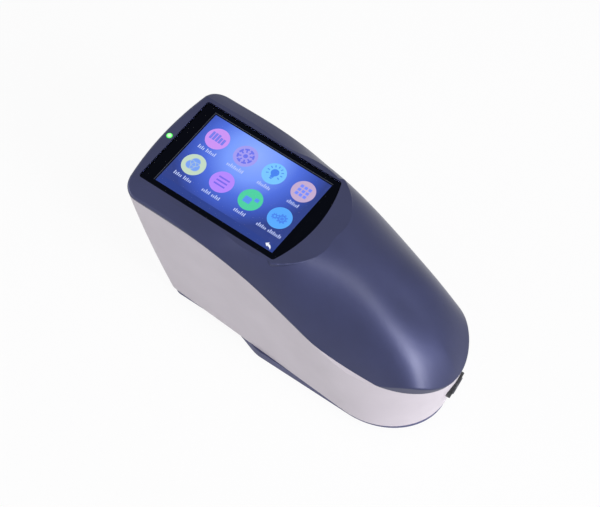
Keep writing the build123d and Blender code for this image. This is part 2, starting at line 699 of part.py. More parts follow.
# Display stack: cover glass, display module and its carrier sheet
with BuildPart() as display_glass:
    with BuildSketch(Plane.XY.offset(GLASS_UNDER)):
        add(glass_outline(0))
    extrude(amount=GLASS_THICK)
    chamfer(display_glass.faces().sort_by(Axis.Z)[-1].edges(), 0.2)
save(display_glass, "display_glass")

with BuildPart() as display_module:
    with BuildSketch(Plane.XY.offset(LCD_UNDER)):
        with Locations((DISPLAY_X + LCD_SHIFT, 0)):
            RectangleRounded(LCD_LENGTH, LCD_WIDTH, 0.8)
    extrude(amount=LCD_THICK)
save(display_module, "display_module")

with BuildPart() as display_carrier:
    with BuildSketch(Plane.XY.offset(CARRIER_UNDER)):
        with Locations((DISPLAY_X + (CARRIER_TAIL - CARRIER_HEAD) / 2, 0)):
            carrier_plate = Rectangle(CARRIER_TAIL + CARRIER_HEAD, 2 * CARRIER_HALF)
            chamfer(carrier_plate.vertices().group_by(Axis.X)[-1], CARRIER_TRIM)
        with Locations((along(STATUS_AT), 0)):
            Circle(STATUS_RADIUS + 1, mode=Mode.SUBTRACT)
        with Locations((DISPLAY_X + RIBBON_AT, 0)):
            Rectangle(RIBBON_SLOT, RIBBON_WIDTH + 2, mode=Mode.SUBTRACT)
        with Locations((DISPLAY_X, 0)):
            RectangleRounded(CARRIER_WINDOW, CARRIER_HALF, 4, mode=Mode.SUBTRACT)
        with Locations(*[(DISPLAY_X + x, y) for x, y in CARRIER_SCREWS + STANDOFF_PLACES]):
            Circle(SCREW_HOLE, mode=Mode.SUBTRACT)
    extrude(amount=CARRIER_THICK)
save(display_carrier, "display_carrier")


def add_screw(length, head_radius=SCREW_HEAD_RADIUS):
    """Pan head screw pointing up from its head seat, at the current places."""
    Cylinder(head_radius, SCREW_HEAD_HEIGHT, align=TOP)
    Cylinder(SCREW_RADIUS, length, align=BASE)


with BuildPart() as display_screws:
    with Locations(*places(CARRIER_SCREWS, CARRIER_UNDER, DISPLAY_X)):
        add_screw(CARRIER_THICK + SCREW_GRIP)
save(display_screws, "display_screws")

with BuildPart() as display_ribbon:
    lcd_tail = DISPLAY_X + LCD_SHIFT + LCD_LENGTH / 2
    bend_x = DISPLAY_X + RIBBON_AT
    exit_z = LCD_UNDER + LCD_THICK / 3
    foot_z = BOARD_TOP + RIBBON_THICK / 2
    with BuildSketch(Plane.XZ):
        with BuildLine() as ribbon_path:
            FilletPolyline(
                (lcd_tail, exit_z), (bend_x, exit_z), (bend_x, foot_z), (bend_x - RIBBON_FOOT, foot_z),
                radius=3 * RIBBON_THICK,
            )
        trace(ribbon_path.line, line_width=RIBBON_THICK)
    extrude(amount=RIBBON_WIDTH / 2, both=True)
save(display_ribbon, "display_ribbon")

# Status light: clear rod in the panel over its lamp on a small board
with BuildPart() as status_light:
    with Locations((along(STATUS_AT), 0, PANEL_TOP - STATUS_LENGTH)):
        Cylinder(STATUS_RADIUS, STATUS_LENGTH, align=BASE)
    fillet(status_light.faces().sort_by(Axis.Z)[-1].edges(), 0.4)
save(status_light, "status_light")

with BuildPart() as status_board:
    with Locations((along(STATUS_AT) + STATUS_BOARD_SHIFT, 0, CARRIER_UNDER)):
        Box(STATUS_BOARD_LENGTH, 2 * STATUS_BOARD_HALF, BOARD_THICK / 2, align=TOP)
save(status_board, "status_board")

with BuildPart() as status_lamp:
    with Locations((along(STATUS_AT), 0, CARRIER_UNDER)):
        Box(STATUS_LED, STATUS_LED, STATUS_LED_HEIGHT, align=BASE)
save(status_lamp, "status_lamp")

# Main board, hung from the carrier by hexagonal standoffs
with BuildPart() as board_standoffs:
    with BuildSketch(Plane.XY.offset(BOARD_TOP)):
        with Locations(*[(DISPLAY_X + x, y) for x, y in STANDOFF_PLACES]):
            RegularPolygon(STANDOFF_RADIUS, 6)
            Circle(SCREW_HOLE, mode=Mode.SUBTRACT)
    extrude(amount=STANDOFF_LENGTH)
save(board_standoffs, "board_standoffs")

with BuildPart() as main_board:
    with BuildSketch(Plane.XY.offset(BOARD_UNDER)):
        with Locations((DISPLAY_X + BOARD_CENTER, 0)):
            RectangleRounded(BOARD_LENGTH, BOARD_WIDTH, 2)
        with Locations(*[(DISPLAY_X + x, y) for x, y in STANDOFF_PLACES]):
            Circle(SCREW_HOLE, mode=Mode.SUBTRACT)
    extrude(amount=BOARD_THICK)
save(main_board, "main_board")

with BuildPart() as board_screws:
    with Locations(*places(STANDOFF_PLACES, BOARD_UNDER, DISPLAY_X)):
        add_screw(BOARD_THICK + BOARD_GRIP)
save(board_screws, "board_screws")

with BuildPart() as board_chips:
    with Locations(*places(CHIP_PLACES, BOARD_UNDER, DISPLAY_X)):
        Box(CHIP_SIZE, CHIP_SIZE, CHIP_THICK, align=TOP)
save(board_chips, "board_chips")

with BuildPart() as radio_module:
    with Locations((DISPLAY_X + RADIO_PLACE[0], RADIO_PLACE[1], BOARD_UNDER)):
        Box(RADIO_SIZE[0], RADIO_SIZE[1], RADIO_SIZE[2], align=TOP)
    chamfer(radio_module.faces().sort_by(Axis.Z)[0].edges(), 0.4)
save(radio_module, "radio_module")

with BuildPart() as buzzer:
    with Locations((DISPLAY_X + BUZZER_PLACE[0], BUZZER_PLACE[1], BOARD_UNDER)):
        Cylinder(BUZZER_RADIUS, BUZZER_HEIGHT, align=TOP)
    with Locations((DISPLAY_X + BUZZER_PLACE[0], BUZZER_PLACE[1], BOARD_UNDER - BUZZER_HEIGHT)):
        Cylinder(BUZZER_HOLE, BUZZER_HOLE, align=BASE, mode=Mode.SUBTRACT)
save(buzzer, "buzzer")

# Aperture ring: turns in the tray on its neck and locks with two lugs
with BuildPart() as aperture_ring:
    ring_top = TRAY_BOTTOM + RING_RECESS - FIT_GAP
    with Locations((PORT_X, 0, RING_BOTTOM)):
        Cylinder(RING_RADIUS, ring_top - RING_BOTTOM, align=BASE)
        Cylinder(RING_NECK, RING_TOP - RING_BOTTOM, align=BASE)
    chamfer(aperture_ring.faces().sort_by(Axis.Z)[0].edges(), 0.4)
    with BuildSketch(Plane.XY.offset(SPHERE_FLAT + FIT_GAP)):
        with Locations((PORT_X, 0)):
            Rectangle(2 * LUG_REACH, LUG_WIDTH)
    extrude(amount=RING_TOP - SPHERE_FLAT - FIT_GAP)
    with Locations((PORT_X, 0, RING_BOTTOM)):
        Cylinder(PORT_RADIUS, WIDTH, align=BASE, mode=Mode.SUBTRACT)
    with Locations((PORT_X, 0, RING_BOTTOM + PORT_LAND)):
        Cone(PORT_RADIUS, PORT_MOUTH, RING_TOP - RING_BOTTOM - PORT_LAND, align=BASE, mode=Mode.SUBTRACT)
    with BuildSketch(Plane.XY.offset(RING_BOTTOM)):
        with Locations((PORT_X, 0)):
            with PolarLocations(RING_RADIUS, RING_NOTCHES):
                Circle(RING_NOTCH)
    extrude(amount=RING_NOTCH_DEPTH, mode=Mode.SUBTRACT)
save(aperture_ring, "aperture_ring")


# Integrating sphere in two halves
def ear_outline():
    """Four ears that join the sphere halves, clear of the lamp and the side walls."""
    with BuildSketch(Plane.XY.offset(SPHERE_Z)) as outline:
        with Locations((PORT_X, 0)):
            SlotCenterToCenter(2 * EAR_REACH, 2 * EAR_RADIUS, rotation=EAR_ANGLE)
            SlotCenterToCenter(2 * EAR_REACH, 2 * EAR_RADIUS, rotation=-EAR_ANGLE)
    return outline.sketch


EAR_TURNS = (EAR_ANGLE, -EAR_ANGLE, 180 - EAR_ANGLE, 180 + EAR_ANGLE)
EAR_PLACES = [
    (PORT_X + EAR_REACH * cos(radians(turn)), EAR_REACH * sin(radians(turn))) for turn in EAR_TURNS
]


with BuildPart() as sphere_lower:
    with Locations((PORT_X, 0, SPHERE_Z)):
        Sphere(SPHERE_OUTER)
    with BuildSketch(Plane.XY.offset(SPHERE_FLAT)):
        with Locations((PORT_X, 0)):
            Rectangle(3 * SPHERE_OUTER, 3 * SPHERE_OUTER)
    extrude(amount=SPHERE_Z - SPHERE_FLAT, mode=Mode.INTERSECT)
    add(ear_outline())
    extrude(amount=-EAR_THICK)
    with Locations((PORT_X, 0, SPHERE_FLAT)):
        Cylinder(SPHERE_FOOT, SPHERE_FOOT_THICK, align=BASE)
    with Locations((PORT_X, 0, SPHERE_Z)):
        Sphere(SPHERE_INNER, mode=Mode.SUBTRACT)
    with Locations((PORT_X, 0, SPHERE_FLAT)):
        Cylinder(LUG_REACH + 2 * FIT_GAP, RING_TOP - SPHERE_FLAT + FIT_GAP, align=BASE, mode=Mode.SUBTRACT)
        with PolarLocations(SPHERE_SCREW_CIRCLE, 4, start_angle=45):
            Cylinder(SCREW_HOLE, SPHERE_FOOT_THICK, align=BASE, mode=Mode.SUBTRACT)
    with Locations(*[(x, y, SPHERE_Z) for x, y in EAR_PLACES]):
        Cylinder(SCREW_HOLE, EAR_THICK, align=TOP, mode=Mode.SUBTRACT)
    with BuildSketch(Plane.YZ.offset(PORT_X)):
        with Locations((0, LAMP_Z)):
            Circle(LAMP_PORT)
    extrude(amount=SPHERE_OUTER, mode=Mode.SUBTRACT)
save(sphere_lower, "sphere_lower")

with BuildPart() as sphere_upper:
    with Locations((PORT_X, 0, SPHERE_Z)):
        Sphere(SPHERE_OUTER)
    with BuildSketch(Plane.XY.offset(SPHERE_Z)):
        with Locations((PORT_X, 0)):
            Rectangle(3 * SPHERE_OUTER, 3 * SPHERE_OUTER)
    extrude(amount=SPHERE_OUTER, mode=Mode.INTERSECT)
    add(ear_outline())
    extrude(amount=EAR_THICK)
    with Locations((PORT_X + NECK_SHIFT, 0, SPHERE_Z + 20)):
        Cylinder(NECK_RADIUS, NECK_TOP - SPHERE_Z - 20, align=BASE)
    with Locations((PORT_X, 0, SPHERE_Z)):
        Sphere(SPHERE_INNER, mode=Mode.SUBTRACT)
    with BuildSketch(VIEW_PLANE):
        Circle(TUBE_RADIUS + FIT_GAP)
    extrude(amount=2 * NECK_TOP, mode=Mode.SUBTRACT)
    with Locations(*[(x, y, SPHERE_Z) for x, y in EAR_PLACES]):
        Cylinder(SCREW_HOLE, EAR_THICK, align=BASE, mode=Mode.SUBTRACT)
    with BuildSketch(Plane.YZ.offset(PORT_X)):
        with Locations((0, LAMP_Z)):
            Circle(LAMP_PORT)
    extrude(amount=SPHERE_OUTER, mode=Mode.SUBTRACT)
save(sphere_upper, "sphere_upper")

with BuildPart() as sphere_screws:
    with Locations(*[(x, y, SPHERE_Z - EAR_THICK) for x, y in EAR_PLACES]):
        add_screw(2 * EAR_THICK)
save(sphere_screws, "sphere_screws")

with BuildPart() as foot_screws:
    with Locations((PORT_X, 0, SPHERE_FLAT + SPHERE_FOOT_THICK)):
        with PolarLocations(SPHERE_SCREW_CIRCLE, 4, start_angle=45):
            Cylinder(SCREW_HEAD_RADIUS, SCREW_HEAD_HEIGHT, align=BASE)
            Cylinder(SCREW_RADIUS, SPHERE_FOOT_THICK, align=TOP)
save(foot_screws, "foot_screws")


# Viewing tube with its lens, tilted from the port's axis
def view_plane(distance):
    """Plane across the tilted viewing axis at a distance from the sample."""
    return VIEW_PLANE.offset(distance)


TUBE_START = SPHERE_Z + SPHERE_INNER + 1.5 - TUBE_DROP
TUBE_END = DECK_TOP + FIT_GAP - TUBE_DROP

with BuildPart() as lens_tube:
    with BuildSketch(view_plane(TUBE_START)):
        Circle(TUBE_RADIUS)
        Circle(VIEW_HOLE, mode=Mode.SUBTRACT)
    extrude(amount=TUBE_END - TUBE_START)
save(lens_tube, "lens_tube")

with BuildPart() as collecting_lens:
    with BuildSketch(view_plane(TUBE_START + 2)):
        Circle(VIEW_HOLE - RUN_GAP)
    extrude(amount=LENS_THICK)
    chamfer(collecting_lens.edges(), 0.3)
save(collecting_lens, "collecting_lens")

# Lamp: holder on the sphere's grip side, lamp board and finned heat sink
with BuildPart() as lamp_holder:
    with BuildSketch(Plane.YZ.offset(along(LAMP_FACE))):
        with Locations((0, LAMP_Z)):
            Circle(LAMP_HOLDER)
            Circle(LAMP_PORT + 0.5, mode=Mode.SUBTRACT)
    extrude(amount=-LAMP_FACE + PORT_AT + SPHERE_INNER)
    with Locations((PORT_X, 0, SPHERE_Z)):
        Sphere(SPHERE_OUTER + RUN_GAP, mode=Mode.SUBTRACT)
save(lamp_holder, "lamp_holder")

with BuildPart() as lamp_board:
    with Locations((along(LAMP_FACE) + BOARD_THICK / 2, 0, LAMP_Z)):
        Box(BOARD_THICK, LAMP_BOARD, LAMP_BOARD)
save(lamp_board, "lamp_board")

with BuildPart() as lamp_leds:
    with Locations(*[(along(LAMP_FACE), y, LAMP_Z + z) for y, z in LED_PLACES]):
        Box(LED_THICK, LED_SIZE, LED_SIZE, align=(Align.MAX, Align.CENTER, Align.CENTER))
save(lamp_leds, "lamp_leds")

with BuildPart() as heat_sink:
    sink_x = along(LAMP_FACE) + BOARD_THICK
    with Locations((sink_x, 0, LAMP_Z)):
        Box(SINK_BASE, LAMP_BOARD, LAMP_BOARD, align=FORWARD)
    with Locations((sink_x, 0, LAMP_Z)):
        with GridLocations(1, SINK_PITCH, 1, int(LAMP_BOARD / SINK_PITCH)):
            Box(SINK_DEPTH, SINK_FIN, LAMP_BOARD, align=FORWARD)
save(heat_sink, "heat_sink")

# Optics deck on the sphere's neck and two posts
with BuildPart() as optics_deck:
    with BuildSketch(Plane.XY.offset(NECK_TOP)):
        with Locations((along((DECK_HEAD + DECK_TAIL) / 2), 0)):
            RectangleRounded(DECK_TAIL - DECK_HEAD, 2 * DECK_HALF, 4)
        with Locations((PORT_X + NECK_TOP * tan(radians(VIEW_TILT)), 0)):
            Circle(TUBE_RADIUS + 0.5, mode=Mode.SUBTRACT)
        with Locations((along(POST_AT), POST_HALF), (along(POST_AT), -POST_HALF)):
            Circle(SCREW_HOLE, mode=Mode.SUBTRACT)
    extrude(amount=DECK_THICK)
    with BuildSketch(Plane.XY.offset(NECK_TOP)):
        with Locations((along(DECK_TAIL) - DECK_THICK / 2, 0)):
            Rectangle(DECK_THICK, DECK_HALF)
    extrude(amount=-DECK_FLANGE)
save(optics_deck, "optics_deck")

with BuildPart() as deck_posts:
    with BuildSketch(Plane.XY.offset(TRAY_FLOOR_TOP + POST_PAD)):
        with Locations((along(POST_AT), POST_HALF), (along(POST_AT), -POST_HALF)):
            RegularPolygon(POST_RADIUS, 6)
            Circle(SCREW_HOLE, mode=Mode.SUBTRACT)
    extrude(amount=NECK_TOP - TRAY_FLOOR_TOP - POST_PAD)
save(deck_posts, "deck_posts")

with BuildPart() as deck_screws:
    with Locations((along(POST_AT), POST_HALF, DECK_TOP), (along(POST_AT), -POST_HALF, DECK_TOP)):
        Cylinder(SCREW_HEAD_RADIUS, SCREW_HEAD_HEIGHT, align=BASE)
        Cylinder(SCREW_RADIUS, DECK_THICK + BOARD_GRIP, align=TOP)
save(deck_screws, "deck_screws")

# Fold block that turns the viewing axis level, with its mirror and the sighting camera on top
FOLD_X = along(FOLD_AT)
AXIS_Z = DECK_TOP + AXIS_HEIGHT
with BuildPart() as fold_block:
    with Locations((FOLD_X, 0, DECK_TOP + 2 * FIT_GAP)):
        Box(FOLD_LENGTH, 2 * FOLD_HALF, FOLD_HEIGHT, align=BASE)
    with Locations((FOLD_X - SEAT_GAP, 0, DECK_TOP)):
        Cylinder(VIEW_HOLE, FOLD_HEIGHT + 1, align=BASE, mode=Mode.SUBTRACT)
    with BuildSketch(Plane.YZ.offset(FOLD_X)):
        with Locations((0, AXIS_Z)):
            Circle(VIEW_HOLE)
    extrude(amount=FOLD_LENGTH, mode=Mode.SUBTRACT)
save(fold_block, "fold_block")

with BuildPart() as fold_mirror:
    mirror_plane = Plane(origin=(FOLD_X, 0, AXIS_Z), x_dir=(0, 1, 0), z_dir=(1, 0, -1))
    with BuildSketch(mirror_plane):
        Rectangle(VIEW_HOLE * 1.1, VIEW_HOLE * 1.7)
    extrude(amount=0.5, both=True)
save(fold_mirror, "fold_mirror")

with BuildPart() as camera_module:
    with Locations((FOLD_X - SEAT_GAP, 0, DECK_TOP + 2 * FIT_GAP + FOLD_HEIGHT)):
        Box(CAMERA_SIZE, CAMERA_SIZE, CAMERA_HEIGHT, align=BASE)
        Cylinder(VIEW_HOLE - SEAT_GAP, 2.0, align=TOP)
save(camera_module, "camera_module")

# Spectrometer: box, lid, slit, concave grating and sensor board
BOX_X = along(BOX_HEAD)
with BuildPart() as spectrometer_box:
    with Locations((BOX_X, 0, DECK_TOP)):
        Box(BOX_LENGTH, 2 * BOX_HALF, BOX_HEIGHT, align=(Align.MIN, Align.CENTER, Align.MIN))
    with Locations((BOX_X + BOX_WALL, 0, DECK_TOP + BOX_WALL)):
        Box(
            BOX_LENGTH - 2 * BOX_WALL, 2 * (BOX_HALF - BOX_WALL), BOX_HEIGHT,
            align=(Align.MIN, Align.CENTER, Align.MIN), mode=Mode.SUBTRACT,
        )
    with BuildSketch(Plane.YZ.offset(BOX_X)):
        with Locations((0, AXIS_Z)):
            Circle(SLIT_RADIUS)
    extrude(amount=BOX_WALL, mode=Mode.SUBTRACT)
save(spectrometer_box, "spectrometer_box")

with BuildPart() as spectrometer_lid:
    with BuildSketch(Plane.XY.offset(DECK_TOP + BOX_HEIGHT)):
        with Locations((BOX_X + BOX_LENGTH / 2, 0)):
            Rectangle(BOX_LENGTH, 2 * BOX_HALF)
    extrude(amount=LID_THICK)
save(spectrometer_lid, "spectrometer_lid")

with BuildPart() as slit_plate:
    with BuildSketch(Plane.YZ.offset(BOX_X + BOX_WALL)):
        with Locations((0, AXIS_Z)):
            Circle(SLIT_RADIUS + 1.5)
            Rectangle(0.3, 3.0, mode=Mode.SUBTRACT)
    extrude(amount=0.4)
save(slit_plate, "slit_plate")

with BuildPart() as concave_grating:
    grating_back = BOX_X + BOX_LENGTH - BOX_WALL
    with BuildSketch(Plane.XY.offset(DECK_TOP + BOX_WALL)):
        with BuildLine():
            front = grating_back - GRATING_THICK
            sag = GRATING_HALF**2 / (2 * GRATING_CURVE)
            ThreePointArc((front, -GRATING_HALF), (front + sag, 0), (front, GRATING_HALF))
            Polyline((front, GRATING_HALF), (grating_back, GRATING_HALF),
                     (grating_back, -GRATING_HALF), (front, -GRATING_HALF))
        make_face()
    extrude(amount=2 * (AXIS_HEIGHT - BOX_WALL))
save(concave_grating, "concave_grating")

with BuildPart() as sensor_board:
    sensor_x = BOX_X + BOX_WALL
    with Locations((sensor_x, SENSOR_Y, DECK_TOP + BOX_WALL)):
        Box(BOARD_THICK, SENSOR_WIDTH, SENSOR_HEIGHT, align=(Align.MIN, Align.CENTER, Align.MIN))
    with Locations((sensor_x + BOARD_THICK, SENSOR_Y, AXIS_Z)):
        Box(SENSOR_CHIP, SENSOR_WIDTH * 0.7, SENSOR_CHIP * 2, align=FORWARD)
save(sensor_board, "sensor_board")

# Battery: two cells in a cradle under a steel strap
CELL_Z = TRAY_FLOOR_TOP + CRADLE_FLOOR + CELL_RADIUS
CELL_Y = CELL_RADIUS + FIT_GAP
CRADLE_HALF = 2 * CELL_RADIUS + 3 * FIT_GAP + CRADLE_WALL
with BuildPart() as battery_cradle:
    cradle_length = CELL_LENGTH + 2 * (FIT_GAP + CRADLE_WALL)
    with Locations((along(CELL_HEAD) - FIT_GAP - CRADLE_WALL, 0, TRAY_FLOOR_TOP)):
        Box(cradle_length, 2 * CRADLE_HALF, CRADLE_HEIGHT, align=(Align.MIN, Align.CENTER, Align.MIN))
    with Locations((along(CELL_HEAD) - FIT_GAP, 0, TRAY_FLOOR_TOP + CRADLE_FLOOR)):
        Box(
            CELL_LENGTH + 2 * FIT_GAP, 2 * (CRADLE_HALF - CRADLE_WALL), CRADLE_HEIGHT,
            align=(Align.MIN, Align.CENTER, Align.MIN), mode=Mode.SUBTRACT,
        )
save(battery_cradle, "battery_cradle")

with BuildPart() as battery_cells:
    with BuildSketch(Plane.YZ.offset(along(CELL_HEAD))):
        with Locations((CELL_Y, CELL_Z), (-CELL_Y, CELL_Z)):
            Circle(CELL_RADIUS)
    extrude(amount=CELL_LENGTH)
    chamfer(battery_cells.edges(), 0.5)
save(battery_cells, "battery_cells")

with BuildPart() as battery_strap:
    strap_half = CRADLE_HALF + FIT_GAP + STRAP_THICK / 2
    strap_top = CELL_Z + CELL_RADIUS + FIT_GAP + STRAP_THICK / 2
    with BuildSketch(Plane.YZ.offset(along(CELL_HEAD + CELL_LENGTH / 2))):
        with BuildLine() as strap_path:
            FilletPolyline(
                (-strap_half, TRAY_FLOOR_TOP), (-strap_half, strap_top),
                (strap_half, strap_top), (strap_half, TRAY_FLOOR_TOP), radius=5,
            )
        trace(strap_path.line, line_width=STRAP_THICK)
    extrude(amount=STRAP_WIDTH / 2, both=True)
save(battery_strap, "battery_strap")

# Port board on the far side, held between ribs of the tray, with the charging socket and the switch
BOARD_FACE = SIDE_BOARD_Y + BOARD_THICK
SIDE_SEAT = (Align.CENTER, Align.MIN, Align.CENTER)
with BuildPart() as port_board:
    with Locations((along(SIDE_BOARD_HEAD), SIDE_BOARD_Y, TRAY_FLOOR_TOP)):
        Box(SIDE_BOARD_LENGTH, BOARD_THICK, SIDE_BOARD_HEIGHT, align=(Align.MIN,) * 3)
save(port_board, "port_board")

with BuildPart() as charge_socket:
    with BuildSketch(Plane.XZ.offset(-BOARD_FACE)):
        with Locations((along(SOCKET_AT), SOCKET_Z)):
            SlotOverall(SOCKET_WIDTH, SOCKET_HEIGHT)
    extrude(amount=-SOCKET_DEPTH)
    with BuildSketch(Plane.XZ.offset(-BOARD_FACE - SOCKET_BACK)):
        with Locations((along(SOCKET_AT), SOCKET_Z)):
            SlotOverall(SOCKET_WIDTH - 2 * SOCKET_WALL, SOCKET_HEIGHT - 2 * SOCKET_WALL)
    extrude(amount=-SOCKET_DEPTH, mode=Mode.SUBTRACT)
save(charge_socket, "charge_socket")

with BuildPart() as socket_tongue:
    with Locations((along(SOCKET_AT), BOARD_FACE + SOCKET_BACK, SOCKET_Z)):
        Box(SOCKET_WIDTH - 8 * SOCKET_WALL, SOCKET_DEPTH - 2 * SOCKET_BACK, TONGUE_THICK, align=SIDE_SEAT)
save(socket_tongue, "socket_tongue")

with BuildPart() as switch_body:
    with Locations((along(SWITCH_AT), BOARD_FACE, SWITCH_Z)):
        Box(*SWITCH_BODY, align=SIDE_SEAT)
save(switch_body, "switch_body")

# Knob of the power switch: rests at its off end, slides towards the tail
KNOB_ROOT = BOARD_FACE + SWITCH_BODY[1] + SLIDE_GAP
with BuildPart() as power_knob:
    with Locations((along(SWITCH_AT) - KNOB_TRAVEL / 2, KNOB_ROOT, SWITCH_Z)):
        Box(KNOB_LENGTH, KNOB_FACE - KNOB_ROOT, KNOB_HEIGHT, align=SIDE_SEAT)
    chamfer(power_knob.faces().sort_by(Axis.Y)[-1].edges(), 0.4)
save(power_knob, "power_knob")


# Measure button in its ridged bezel on the tail wall
def button_plane(depth):
    """Plane across the button's axis, at a depth inside the tail wall."""
    return BUTTON_PLANE.offset(-depth)


with BuildPart() as button_bezel:
    with BuildSketch(button_plane(BEZEL_DEPTH)):
        Circle(BEZEL_RADIUS)
    extrude(amount=BEZEL_DEPTH + BEZEL_PROUD)
    chamfer(button_bezel.faces().sort_by(Axis.X)[-1].edges(), 0.3)
    with BuildSketch(button_plane(BEZEL_DEPTH)):
        Circle(BEZEL_FLANGE)
    extrude(amount=BEZEL_DEPTH - BEZEL_SEAT)
    with BuildSketch(button_plane(BEZEL_DEPTH)):
        Circle(BUTTON_FLANGE + SLIDE_GAP)
    extrude(amount=BEZEL_DEPTH - BEZEL_LIP, mode=Mode.SUBTRACT)
    with BuildSketch(button_plane(BEZEL_DEPTH)):
        Circle(BUTTON_RADIUS + SLIDE_GAP)
    extrude(amount=BEZEL_DEPTH + BEZEL_PROUD, mode=Mode.SUBTRACT)
    with BuildSketch(button_plane(BEZEL_RIDGE_DEPTH - BEZEL_PROUD)):
        with PolarLocations(BEZEL_RADIUS, BEZEL_RIDGES):
            Circle(BEZEL_RIDGE)
    extrude(amount=BEZEL_RIDGE_DEPTH, mode=Mode.SUBTRACT)
save(button_bezel, "button_bezel")

with BuildPart() as measure_button:
    with BuildSketch(button_plane(BEZEL_LIP)):
        Circle(BUTTON_RADIUS)
    extrude(amount=BEZEL_LIP + BUTTON_PROUD)
    fillet(measure_button.faces().sort_by(Axis.X)[-1].edges(), 0.6)
    with BuildSketch(button_plane(BEZEL_LIP + SLIDE_GAP + BUTTON_RIM)):
        Circle(BUTTON_FLANGE)
    extrude(amount=BUTTON_RIM)
    with BuildSketch(button_plane(BEZEL_LIP + SLIDE_GAP + BUTTON_RIM)):
        Circle(BUTTON_RADIUS - 1)
    extrude(amount=BUTTON_RIM + SLIDE_GAP)
save(measure_button, "measure_button")

with BuildPart() as button_board:
    with BuildSketch(button_plane(BEZEL_DEPTH + BOARD_THICK)):
        Circle(BEZEL_FLANGE)
    extrude(amount=BOARD_THICK)
save(button_board, "button_board")

with BuildPart() as button_switch:
    switch_top = BEZEL_LIP + SLIDE_GAP + BUTTON_RIM + BUTTON_TRAVEL + FIT_GAP
    with BuildSketch(button_plane(BEZEL_DEPTH)):
        RectangleRounded(SWITCH_SIZE, SWITCH_SIZE, 0.4)
    extrude(amount=BEZEL_DEPTH - switch_top - PLUNGER_HEIGHT)
    with BuildSketch(button_plane(BEZEL_DEPTH)):
        Circle(SWITCH_SIZE / 3)
    extrude(amount=BEZEL_DEPTH - switch_top)
save(button_switch, "button_switch")

# Charge light beside the button
with BuildPart() as charge_light:
    with BuildSketch(button_plane(CHARGE_DEPTH)):
        with Locations((CHARGE_SIDE, 0)):
            Circle(CHARGE_RADIUS)
    extrude(amount=CHARGE_DEPTH - CHARGE_SUNK)
save(charge_light, "charge_light")

# Rubber pads and the screws that close the case
with BuildPart() as rubber_pads:
    with Locations(*places(PAD_PLACES, 0)):
        Cylinder(PAD_RADIUS, PAD_THICK, align=BASE)
    chamfer(rubber_pads.edges().group_by(Axis.Z)[0], 0.3)
save(rubber_pads, "rubber_pads")

with BuildPart() as tray_screws:
    with Locations(*places(TRAY_SCREWS, TRAY_BOTTOM + HEAD_SINK)):
        add_screw(TRAY_TOP - TRAY_BOTTOM + TRAY_GRIP, TRAY_SCREW_HEAD)
save(tray_screws, "tray_screws")

with BuildPart() as case_screws:
    with Locations(
        *places(HEAD_POSTS, HEAD_SHELF_TOP - SHELF_THICK), *places(TAIL_POSTS, TAIL_SHELF_TOP - SHELF_THICK)
    ):
        add_screw(SHELF_THICK + CASE_GRIP)
save(case_screws, "case_screws")
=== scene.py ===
"""Looks of the handheld colour matching spectrophotometer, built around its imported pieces.

Sizes are written in millimetres and turned to metres where a mesh is made.
"""
import math

import bmesh
import bpy
from mathutils import Matrix, Vector


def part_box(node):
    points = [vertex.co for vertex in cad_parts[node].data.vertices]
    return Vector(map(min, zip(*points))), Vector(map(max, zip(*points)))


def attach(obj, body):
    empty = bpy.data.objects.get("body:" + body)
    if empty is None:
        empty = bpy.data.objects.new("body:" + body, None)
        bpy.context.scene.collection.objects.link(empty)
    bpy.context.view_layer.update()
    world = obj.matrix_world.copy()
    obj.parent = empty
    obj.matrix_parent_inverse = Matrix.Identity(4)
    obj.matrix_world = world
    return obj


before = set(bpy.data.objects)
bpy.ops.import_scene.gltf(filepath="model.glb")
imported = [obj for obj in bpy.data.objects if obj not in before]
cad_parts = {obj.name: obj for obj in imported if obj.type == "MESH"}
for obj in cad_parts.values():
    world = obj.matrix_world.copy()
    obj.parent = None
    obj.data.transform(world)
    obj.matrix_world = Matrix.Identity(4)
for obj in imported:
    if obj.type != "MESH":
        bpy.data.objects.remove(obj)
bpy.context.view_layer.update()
MM = 0.001
HOUSING = "housing"


# Node helpers
def linear(code):
    """Linear colour of an sRGB hex value."""
    parts = [int(code[i:i + 2], 16) / 255 for i in (1, 3, 5)]
    values = [c / 12.92 if c <= 0.04045 else ((c + 0.055) / 1.055) ** 2.4 for c in parts]
    return (*values, 1.0)


def add(tree, kind, links=None, **settings):
    """Add a node with its settings, and link sockets to its inputs; plain values go on its inputs."""
    node = tree.nodes.new(kind)
    for key, value in settings.items():
        setattr(node, key, value)
    for key, value in (links or {}).items():
        if isinstance(value, bpy.types.NodeSocket):
            tree.links.new(value, node.inputs[key])
        else:
            node.inputs[key].default_value = value
    return node


def finish_of(name, inputs):
    """A material with the shader's own inputs set; returns it with its tree and shader."""
    material = bpy.data.materials.new(name)
    material.use_nodes = True
    tree = material.node_tree
    shader = tree.nodes["Principled BSDF"]
    for key, value in inputs.items():
        shader.inputs[key].default_value = value
    return material, tree, shader


def plain(name, inputs):
    """A finish that is even all over."""
    return finish_of(name, inputs)[0]


